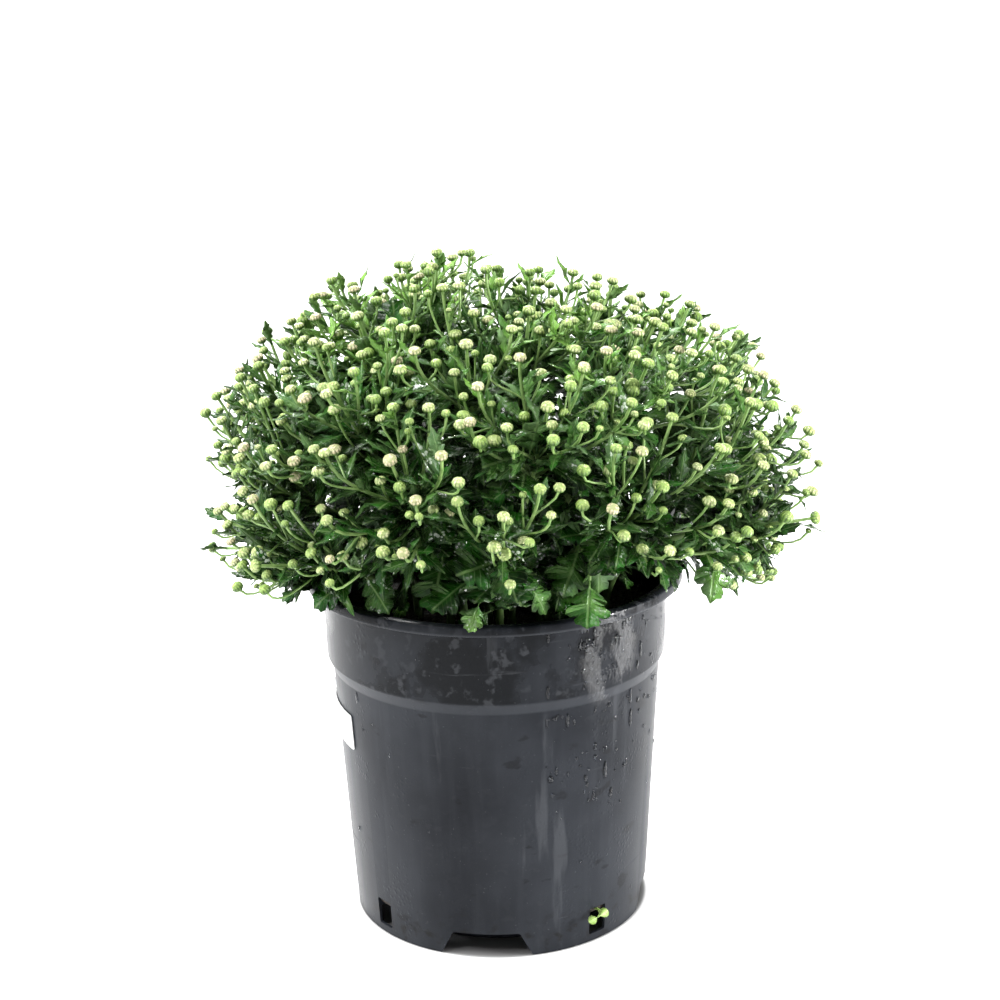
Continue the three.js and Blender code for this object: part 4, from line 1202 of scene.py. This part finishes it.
def grow_shoot(growth, path, target, far, lift, draw):
    """A side shoot from a main stem to its target, and the leaves up it."""
    length = np.linalg.norm(path[0] - path[3])
    branch = min(0.84, max(0.34, 1 - (1.15 * far + 14) / length))
    shoot = shoot_path(cubic(path, branch), heading(path, branch), target, lift)
    growth.add_line(shoot, ([0, 1], [SHOOT_RADIUS, STALK_RADIUS * 1.2]), ([0, 1], [0.15, 0.85]))
    grow_corymb(growth, shoot, draw, bud_radius("shoot_tip", draw), 2 + int(1.6 * draw()))
    for n in range(LEAVES_PER_SHOOT):
        t = 0.10 + 0.095 * n + 0.07 * draw()
        lobed = n < 3 and draw() < 0.5
        size = leaf_length("lobed_on_shoot" if lobed else "lance_on_shoot", t, draw)
        kind = leaf_kind(lobed, draw)
        shade = 0.2 + 0.5 * draw()
        leaf_beside(growth, shoot, t, GOLDEN_ANGLE * n + 360 * draw(), size, kind, shade, draw, 0.6)


def grow_plant():
    """Every leafy stem's growth, in the frame's order."""
    stems = main_stems()
    for owner, stem in enumerate(stems):
        stem["growth"] = Growth()
        grow_main_stem(stem["growth"], stem["path"], draws(SEED + 200 + owner))
    tips = np.array([stem["tip"] for stem in stems])
    for k, target in enumerate(shoot_targets(tips)):
        far = np.linalg.norm(tips - target, axis=1)
        stem = stems[int(far.argmin())]
        lift = LIFT["shoot"] if k < FRAME_SHOOTS else LIFT["upper"]
        grow_shoot(stem["growth"], stem["path"], target, far.min(), lift, draws(SEED + 5000 + k))
    grow_skirt(stems)
    return stems


def held_leaf(stems, tip, length, kind, shade, draw, arch=0.12):
    """A blade that ends at a place, on a thin leaf stalk that arches out to it from the nearest stem."""
    choices = []
    for i, stem in enumerate(stems):
        for t in np.arange(0.06, 0.7, 0.08):
            choices.append((np.linalg.norm(cubic(stem["path"], t) - tip), i, t))
    _, owner, t = min(choices)
    growth, path = stems[owner]["growth"], stems[owner]["path"]
    start = cubic(path, t)
    far = np.linalg.norm(tip - start)
    top = start + UP * min(16, arch * far)
    length = min(length, 0.9 * np.linalg.norm(tip - top))
    base = tip - length * unit(tip - top)
    if not clear_of_pot(base, 1.5) or not clear_of_pot((start + base) / 2, 1.5):
        return False
    if not growth.add_leaf(base, tip - base, length, kind, shade, draw, 12):
        return False
    reach = 0.3 * (base - start)
    stalk = np.array((start, start + reach + 3 * UP, base - reach + 2 * UP, base))
    if all(clear_of_pot(cubic(stalk, share), 1.0) for share in (0.25, 0.5, 0.75)):
        growth.add_line(stalk, ([0, 1], [1.0, 0.7]), ([0, 1], [0.3, 0.7]))
    else:
        growth.add_short_line([start, base], [1.0, 0.7], [0.3, 0.7])
    return True


def grow_skirt(stems):
    """The leaves that hang out over the rim, and the dark ones that fill the pot's mouth under the mound."""
    draw = draws(SEED + 7000)
    for azimuth, reach, z, length, shade, is_lobed in SKIRT_LEAVES:
        kind = leaf_kind(True, draw) if is_lobed else 1
        for attempt in range(9):
            swing = 9 * (1 if attempt % 2 else -1) * math.ceil(attempt / 2)
            tip = around(reach + attempt, azimuth + swing, z + 1.5 * attempt)
            if held_leaf(stems, tip, length, kind, shade, draw, 0.3):
                break
    for k in range(UNDERGROWTH):
        reach = 50 + 48 * math.sqrt(draw())
        aside = abs((GOLDEN_ANGLE * k - CLEARING["azimuth"] + 180) % 360 - 180)
        if reach > CLEARING["from"] and aside < CLEARING["half_width"]:
            continue
        z = 180 + 26 * draw() + (12 if reach > 84 else 0)
        # most get a low shade value: painted shade under the mound
        shade = 0.7 + 0.25 * draw() if draw() < 0.12 else 0.04 + 0.34 * draw()
        kind = leaf_kind(True, draw)
        held_leaf(stems, around(reach, GOLDEN_ANGLE * k, z), 20 + 12 * draw(), kind, shade, draw)
    for k in range(INNER_LEAVES):
        polar = cap_polar((k + 0.5) / INNER_LEAVES, INNER_POLAR)
        tip = on_mound(polar, GOLDEN_ANGLE * k + 60, MOUND_REACH * (0.52 + 0.43 * draw()))
        kind = int((LANCE_KINDS + LOBED_KINDS) * draw())
        # a low shade value: painted shade inside the mound
        held_leaf(stems, tip, 20 + 14 * draw(), kind, 0.24 * draw(), draw)


def point_mesh(name, rows, value_name, lines=()):
    """Points that carry prototypes, and lines that carry rods, as one skeleton mesh."""
    places, edges, thick, tint = [], [], [], []
    for points, radii, tints in lines:
        first = len(places)
        places.extend(points)
        edges.extend((first + k, first + k + 1) for k in range(len(points) - 1))
        thick.extend(radii)
        tint.extend(tints)
    loose = len(places)
    places.extend(row[0] for row in rows)
    mesh = bpy.data.meshes.new(name)
    mesh.from_pydata([tuple(p * MM) for p in places], edges, [])
    turns = [tuple(Matrix(np.array(row[1]).T.tolist()).to_quaternion()) for row in rows]
    sizes = [tuple(np.array(row[2]) * MM) for row in rows]
    columns = {
        "carries": ("BOOLEAN", "value", [False] * loose + [True] * len(rows)),
        "kind": ("INT", "value", [0] * loose + [row[3] for row in rows]),
        "size": ("FLOAT_VECTOR", "vector", [(0, 0, 0)] * loose + sizes),
        "turn": ("QUATERNION", "value", [(1, 0, 0, 0)] * loose + turns),
        value_name: ("FLOAT", "value", [0.0] * loose + [row[4] for row in rows]),
        "thick": ("FLOAT", "value", [r * MM for r in thick] + [0.0] * len(rows)),
        "tint": ("FLOAT", "value", tint + [0.0] * len(rows)),
    }
    for label, (kind, field, values) in columns.items():
        layer = mesh.attributes.new(label, kind, "POINT")
        layer.data.foreach_set(field, np.array(values).ravel())
    return mesh


def scattered(name, rows, value_name, scatter, shelf, material):
    """A piece made of prototypes from a shelf, one to each row."""
    points = point_mesh(name + "_points", rows, value_name)
    return run_tree(name, points, scatter, {"Prototypes": shelf, "Material": material})


def leafy(name, growth, greenery, sides, leaves, stem_finish, leaf_finish):
    """A piece made of a growth's lines and leaves."""
    points = point_mesh(name + "_skeleton", growth.leaves, "shade", growth.lines)
    finish = {"Stem Material": stem_finish, "Leaf Material": leaf_finish}
    return run_tree(name, points, greenery, {"Rod Sides": sides, "Leaves": leaves, **finish})


def make_plant(finishes, greenery, scatter):
    leaves = hidden_collection("leaf_prototypes", leaf_prototypes())
    buds = hidden_collection("bud_prototypes", bud_prototypes())
    all_greens = []
    for i, stem in enumerate(grow_plant()):
        node = f"leafy_stem_{i + 1:02d}"
        growth = stem["growth"]
        greens = leafy(node + "_greens", growth, greenery, 6, leaves, finishes["stem"], finishes["leaf"])
        heads = scattered(node + "_buds", growth.buds, "ripe", scatter, buds, finishes["bud"])
        for piece, slot in ((greens, "leafy_green"), (heads, "bud_green")):
            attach(piece, "root")
            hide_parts(node)
        all_greens.append(greens)
    return all_greens


# ------------------------------------------------------------------ the pot
def rounded(corners, steps=4):
    """An outline from corners (radius, z, fillet): each corner with a fillet becomes an arc."""
    outline = []
    for i, (x, z, fillet) in enumerate(corners):
        here = np.array((x, z), float)
        if not fillet:
            outline.append(here)
            continue
        before = unit(np.array(corners[i - 1][:2]) - here)
        after = unit(np.array(corners[(i + 1) % len(corners)][:2]) - here)
        turn = math.acos(max(-1, min(1, before @ after)))
        reach = fillet / math.tan(turn / 2)
        centre = here + unit(before + after) * fillet / math.sin(turn / 2)
        start, end = here + before * reach - centre, here + after * reach - centre
        whole = math.atan2(start[0] * end[1] - start[1] * end[0], start @ end)
        for k in range(steps + 1):
            a = whole * k / steps
            spin = np.array(((math.cos(a), -math.sin(a)), (math.sin(a), math.cos(a))))
            outline.append(centre + spin @ start)
    return outline


def turned(name, outline, sides, material):
    """A solid of revolution from an outline that starts and ends on the axis."""
    vertices, rings = [], []
    for radius, z in outline:
        if radius < 1e-6:
            rings.append([len(vertices)] * sides)
            vertices.append((0, 0, z))
        else:
            rings.append(list(range(len(vertices), len(vertices) + sides)))
            vertices.extend(around(radius, 360 * k / sides, z) for k in range(sides))
    faces = []
    for low, high in zip(rings, rings[1:]):
        for k in range(sides):
            n = (k + 1) % sides
            face = distinct([low[k], low[n], high[n], high[k]])
            if len(face) > 2:
                faces.append(face)
    piece = mesh_piece(name, vertices, faces, material)
    outward_faces(piece.data)
    return piece


def pot_outer_radius(z):
    return BASE_RADIUS + (BODY_TOP_RADIUS - BASE_RADIUS) * z / BODY_TOP_Z


def pot_corners():
    """The pot's section, up the outside from the base's middle, over the lip and down the inside."""
    well, well_z = WELL["radius"], WELL["z"]
    return [
        (0, well_z, 0),
        (well, well_z, 1.2),
        (well + 4, FLOOR_UNDERSIDE_Z, 0.8),
        (pot_outer_radius(FLOOR_UNDERSIDE_Z) - WALL, FLOOR_UNDERSIDE_Z, 0.8),
        (BASE_RADIUS - WALL, 0, 0.5),
        (BASE_RADIUS, 0, 0.7),
        (BODY_TOP_RADIUS, BODY_TOP_Z, 2.5),
        (BAND_LOW_RADIUS, BAND_LOW_Z, 2.5),
        (BAND_TOP_RADIUS, LIP_LOW_Z + 1.5, 0.8),
        (RIM_RADIUS - WALL, LIP_LOW_Z + 2.5, 0.5),
        (RIM_RADIUS - WALL, LIP_LOW_Z, 0.3),
        (RIM_RADIUS, LIP_LOW_Z, 0.6),
        (RIM_RADIUS - 0.6, POT_HEIGHT - 0.6, 1.2),
        (RIM_RADIUS - 3.5, POT_HEIGHT, 2.5),
        (BAND_TOP_RADIUS + 0.5, POT_HEIGHT - 1.4, 2.0),
        (BAND_TOP_RADIUS - WALL, POT_HEIGHT - 6, 1.5),
        (BAND_LOW_RADIUS - WALL, BAND_LOW_Z + 1, 2.0),
        (BODY_TOP_RADIUS - WALL, BODY_TOP_Z + 1, 2.0),
        (pot_outer_radius(FLOOR_TOP_Z) - WALL, FLOOR_TOP_Z, 2.0),
        (well + 4 - FLOOR_THICKNESS, FLOOR_TOP_Z, 0.5),
        (well - FLOOR_THICKNESS, well_z + FLOOR_THICKNESS, 0.8),
        (0, well_z + FLOOR_THICKNESS, 0),
    ]


def wall_cutter(name, outline, azimuth, near, far):
    """A prism over an outline across the pot's radius, through the wall at an azimuth."""
    count = len(outline)
    turn = math.radians(azimuth - 90)
    over, out = np.array((math.cos(turn), math.sin(turn))), np.array((-math.sin(turn), math.cos(turn)))
    vertices = [(*(x * over + depth * out), z) for depth in (near, far) for x, z in outline]
    faces = [list(range(count)), list(range(count, 2 * count))[::-1]]
    faces += [[k, (k + 1) % count, count + (k + 1) % count, count + k] for k in range(count)]
    cutter = mesh_piece(name, vertices, faces, None, smooth=False)
    outward_faces(cutter.data)
    return cutter


def cut_away(piece, cutter):
    cut = piece.modifiers.new("cut", "BOOLEAN")
    cut.operation = "DIFFERENCE"
    cut.solver = "EXACT"
    cut.object = cutter
    settle(piece)
    bpy.data.objects.remove(cutter)


def make_pot(material):
    """The turned pot, with an arch through its foot at each quarter and a slot midway between them."""
    pot = turned("nursery_pot", rounded(pot_corners()), POT_SIDES, material)
    foot, head, top = ARCH["low"] / 2, ARCH["high"] / 2, ARCH["top"]
    arch = rounded([(-foot, -2, 0), (foot, -2, 0), (head, top, 2), (-head, top, 2)])
    half, low, high = SLOT["width"] / 2, SLOT["low"], SLOT["high"]
    slot = rounded([(-half, low, 1), (half, low, 1), (half, high, 1), (-half, high, 1)])
    outside = BASE_RADIUS + 8
    for azimuth in range(FOOT_TURN, FOOT_TURN + 360, 90):
        cut_away(pot, wall_cutter("arch_cutter", arch, azimuth, BASE_RADIUS - ARCH["deep"], outside))
        cut_away(pot, wall_cutter("slot_cutter", slot, azimuth + 45, BASE_RADIUS - SLOT["deep"], outside))
    pot.data.set_sharp_from_angle(angle=math.radians(38))
    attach(pot, "root")
    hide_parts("pot")
    return pot


# ------------------------------------------------------------------ the potting mix
def wall_inside(z):
    if z <= BODY_TOP_Z + 1:
        return pot_outer_radius(z) - WALL
    return BODY_TOP_RADIUS - WALL if z < BAND_LOW_Z else BAND_LOW_RADIUS - WALL


def make_soil(material):
    """The mix as it fills the pot, lumpy on top."""
    floor = FLOOR_TOP_Z + LABEL_GAP
    gap = LABEL_GAP + 0.1
    low, waist, top = (wall_inside(z) - gap for z in (floor, BODY_TOP_Z, SOIL_TOP_Z))
    outline = [(0, floor), (low, floor), (waist, BODY_TOP_Z), (waist, BAND_LOW_Z - 1)]
    outline += [(top, BAND_LOW_Z + 2), (top, SOIL_TOP_Z - 3)]
    outline += [(radius, SOIL_TOP_Z) for radius in range(84, -1, -4)]
    soil = turned("potting_mix_bed", [np.array(p, float) for p in outline], 96, material)
    lumps = draws(SEED + 31)
    waves = [(0.25 * lumps() + 0.05, 0.25 * lumps() + 0.05, 6.3 * lumps()) for _ in range(10)]
    for vertex in soil.data.vertices:
        if vertex.co.z > (SOIL_TOP_Z - 1) * MM:
            x, y = vertex.co.x / MM, vertex.co.y / MM
            rise = sum(math.sin(a * x + c) * math.sin(b * y + 2 * c) for a, b, c in waves) / 4
            vertex.co.z += MM * (1.4 * rise + 0.5 * lumps())
    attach(soil, "root")
    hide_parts("potting_mix")
    return soil


def crumb_prototypes():
    """Angular crumbs of peat and bark, of unit radius."""
    made = []
    for k in range(CRUMB_KINDS):
        draw = draws(SEED + 60 + k)
        work = bmesh.new()
        bmesh.ops.create_icosphere(work, subdivisions=1, radius=1)
        for vertex in work.verts:
            vertex.co *= 0.7 + 0.5 * draw()
            vertex.co.z *= 0.6
        mesh = bpy.data.meshes.new(f"crumb_{k}")
        work.to_mesh(mesh)
        work.free()
        made.append(bpy.data.objects.new(f"crumb_{k}", mesh))
    return made


def make_crumbs(material, scatter):
    draw = draws(SEED + 90)
    rows = []
    for _ in range(CRUMBS):
        place = around(CRUMB_REACH * math.sqrt(draw()), 360 * draw(), SOIL_TOP_Z + 1.2 * draw())
        axis = unit(np.array((draw() - 0.5, draw() - 0.5, 0.9)))
        side, other = across(axis)
        size = 0.8 + 2.2 * draw() ** 2
        sizes = (size, size * (0.6 + draw()), size)
        rows.append((place, (side, other, axis), sizes, int(CRUMB_KINDS * draw()), draw()))
    shelf = hidden_collection("crumb_prototypes", crumb_prototypes())
    crumbs = scattered("mix_crumbs", rows, "shade", scatter, shelf, material)
    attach(crumbs, "root")
    return crumbs


# ------------------------------------------------------------------ the label and the seedling
def make_label(material):
    """A thin blank strip that follows the pot's wall, with its corners rounded."""
    columns = 44
    corner, tall = LABEL["corner"], LABEL["high"] - LABEL["low"]
    ends = [corner * (1 - cosine(a)) for a in (0, 30, 60, 90)]
    rises = [*ends, tall / 2, *[tall - end for end in ends[::-1]]]
    rows = len(rises) - 1
    turn = LABEL["to"] - LABEL["from"]
    arc = math.radians(abs(turn)) * pot_outer_radius(LABEL["low"])
    vertices = []
    for out in (0, LABEL["thickness"]):
        for rise in rises:
            z = LABEL["low"] + rise
            near_end = min(rise, tall - rise, corner)
            inset = corner - math.sqrt(corner**2 - (corner - near_end) ** 2)
            for i in range(columns + 1):
                share = inset / arc + (1 - 2 * inset / arc) * i / columns
                radius = pot_outer_radius(z) + LABEL_GAP + out
                vertices.append(around(radius, LABEL["from"] + turn * share, z))

    def face(*corners):
        """A face from corners (layer, row, column)."""
        return [(out * (rows + 1) + j) * (columns + 1) + i for out, j, i in corners]

    faces = []
    for j in range(rows):
        for i in range(columns):
            faces.append(face((1, j, i), (1, j, i + 1), (1, j + 1, i + 1), (1, j + 1, i)))
            faces.append(face((0, j, i), (0, j + 1, i), (0, j + 1, i + 1), (0, j, i + 1)))
    for j in range(rows):
        for i in (0, columns):
            faces.append(face((0, j, i), (1, j, i), (1, j + 1, i), (0, j + 1, i)))
    for i in range(columns):
        for j in (0, rows):
            faces.append(face((0, j, i), (0, j, i + 1), (1, j, i + 1), (1, j, i)))
    label = mesh_piece("blank_label", vertices, faces, material)
    outward_faces(label.data)
    label.data.set_sharp_from_angle(angle=math.radians(40))
    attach(label, "root")
    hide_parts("label")
    return label


def make_seedling(finish, greenery):
    """A weed seedling in the slot: a bent stalk and two seed leaves."""
    azimuth, z, swing = SEEDLING["azimuth"], SEEDLING["z"], SEEDLING["swing"]
    points = [
        around(SEEDLING["root"] + 6, azimuth, z),
        around(SEEDLING["bend"] - 4, azimuth, z),
        around(SEEDLING["bend"], azimuth + swing / 2, z + 0.4),
        around(SEEDLING["reach"], azimuth + swing, SEEDLING["top"]),
    ]
    growth = Growth()
    growth.add_short_line(points, [0.7, 0.65, 0.6, 0.5], [0.8, 0.9, 1.0, 1.0])
    crown = points[-1] - 0.3 * UP
    for way, length, rise in ((1, SEEDLING["leaf"], 0.25), (-1, SEEDLING["leaf"] * 0.9, -0.1)):
        ahead = unit(around(1, azimuth + 90 * way, rise))
        toward = around(0.75, azimuth, 0.65)
        face = unit(toward - ahead * (toward @ ahead))
        growth.leaves.append((crown, (np.cross(ahead, face), ahead, face), (length, length, length), 0, 0.5))
    seed_leaf = blade("seed_leaf_0", SEED_LEAF_ROWS, 0.36, 0.05, 0.1, 0.1, 0.01)
    shelf = hidden_collection("seed_leaf_prototypes", [seed_leaf])
    seedling = leafy("weed_seedling", growth, greenery, 8, shelf, finish, finish)
    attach(seedling, "root")
    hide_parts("seedling")
    return seedling


# ------------------------------------------------------------------ water on the pot and the leaves
def band_outer_radius(z):
    return BAND_LOW_RADIUS + (BAND_TOP_RADIUS - BAND_LOW_RADIUS) * (z - BAND_LOW_Z) / 40


def make_pot_drops(material, scatter, bead):
    """Drops and short runs of water, mostly on the front right of the pot."""
    draw = draws(SEED + 400)
    rows = []
    for _ in range(POT_DROPS):
        azimuth = -74 + 58 * draw() ** 1.2 if draw() < 0.6 else -51 + 22 * (draw() - 0.5)
        z = 182 - 110 * draw() ** 1.8
        if draw() < 0.12:
            azimuth, z = 360 * draw(), 20 + 155 * draw()
        z = z if not BODY_TOP_Z - 2 < z < BAND_LOW_Z + 2 else BODY_TOP_Z - 4
        radius = pot_outer_radius(z) if z <= BODY_TOP_Z else band_outer_radius(z)
        out = unit(around(1, azimuth, -0.05))
        side, _ = across(out)
        size = 0.45 + 1.1 * draw() ** 3
        sizes = (size, size * (1 + 3.5 * draw() ** 4), size * 0.6)
        rows.append((around(radius + 0.02, azimuth, z), (side, np.cross(out, side), out), sizes, 0, 0.5))
    drops = scattered("pot_drops", rows, "shade", scatter, bead, material)
    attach(drops, "root")
    return drops


def make_leaf_beads(all_greens, material, bead):
    """Beads of water on the upper faces of the leaves, one piece for all of them."""
    wet = wet_tree()
    joined = bmesh.new()
    for i, greens in enumerate(all_greens):
        values = {"Beads": bead, "Material": material, "Seed": i, **LEAF_BEADS}
        made = run_tree(f"beads_{i}", greens.data.copy(), wet, values)
        joined.from_mesh(made.data)
        bpy.data.objects.remove(made)
    beads = mesh_piece("leaf_beads", [], [], material)
    joined.to_mesh(beads.data)
    joined.free()
    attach(beads, "root")
    return beads


# ------------------------------------------------------------------ floor, light and camera
def make_floor():
    """A pale floor with a painted shadow under the pot, and which glows only clear of it."""
    far = FLOOR_REACH
    corners = [(-far, -far, 0), (far, -far, 0), (far, far, 0), (-far, far, 0)]
    material, shader, surface = new_material("pale_floor")
    floor = mesh_piece("floor", corners, [[0, 1, 2, 3]], material)
    under_pot = shader.near((0, 0, 0), (UNDER_POT_REACH, UNDER_POT_REACH, UNDER_POT_REACH))
    pale = shader.mottle("floor")["Color"]
    # painted shadow: the floor darkens under the pot
    dark = shader.ramp(under_pot, 0.49, 0.53)
    glow = shader.mix(shader.ramp(under_pot, 0.488, 0.512), TINTS["white"], TINTS["black"])
    shader.fill(
        surface,
        Base_Color=shader.mix(dark, pale, TINTS["painted_shadow_floor"]),
        Roughness=0.9,
        Emission_Color=glow,
        Emission_Strength=FLOOR_GLOW,
    )


def make_room():
    """Soft light from all round, white where the camera looks past the floor."""
    world = bpy.data.worlds.new("studio")
    world.use_nodes = True
    room = Shader(world.node_tree)
    backdrop = world.node_tree.nodes["Background"].inputs
    seen = room.node("ShaderNodeLightPath").outputs["Is Camera Ray"]
    room.fill(backdrop, Color=TINTS["white"], Strength=room.between(seen, ROOM_LIGHT, 1.0))
    scene.world = world
    scene.view_settings.view_transform = "Standard"


def make_lamps():
    for name, kind, place, size, power in LAMPS:
        light = bpy.data.lights.new(name, kind)
        light.energy = power
        if kind == "SUN":
            light.angle = math.radians(size)
        else:
            light.shape = "DISK"
            light.size = size
        lamp = bpy.data.objects.new(name, light)
        lamp.location = place
        aim = Vector(LAMP_AIM) - lamp.location
        lamp.rotation_euler = aim.to_track_quat("-Z", "Y").to_euler()
        scene.collection.objects.link(lamp)


def make_camera():
    data = bpy.data.cameras.new("camera")
    data.sensor_width = 36
    data.lens = CAMERA_LENS
    camera = bpy.data.objects.new("camera", data)
    tilt = Matrix.Rotation(math.radians(90 - CAMERA_PITCH), 4, "X")
    roll = Matrix.Rotation(math.radians(CAMERA_ROLL), 4, "Z")
    camera.matrix_world = Matrix.Translation([c * MM for c in CAMERA_PLACE]) @ tilt @ roll
    scene.collection.objects.link(camera)
    scene.camera = camera


make_camera()
make_floor()
make_room()
make_lamps()
finishes = {"leaf": leaf_material(), "stem": stem_material(), "bud": bud_material()}
water = water_material()
mix = soil_material()
greenery = greenery_tree()
scatter = scatter_tree()
bead = hidden_collection("bead_prototypes", [bead_prototype()])
all_greens = make_plant(finishes, greenery, scatter)
make_pot(pot_material())
make_soil(mix)
make_crumbs(mix, scatter)
make_label(label_material())
make_seedling(seedling_material(), greenery)
make_pot_drops(water, scatter, bead)
make_leaf_beads(all_greens, water, bead)
for shelf in list(bpy.data.collections):
    if shelf.name.endswith("prototypes"):
        for spare in list(shelf.objects):
            bpy.data.objects.remove(spare)
        bpy.data.collections.remove(shelf)
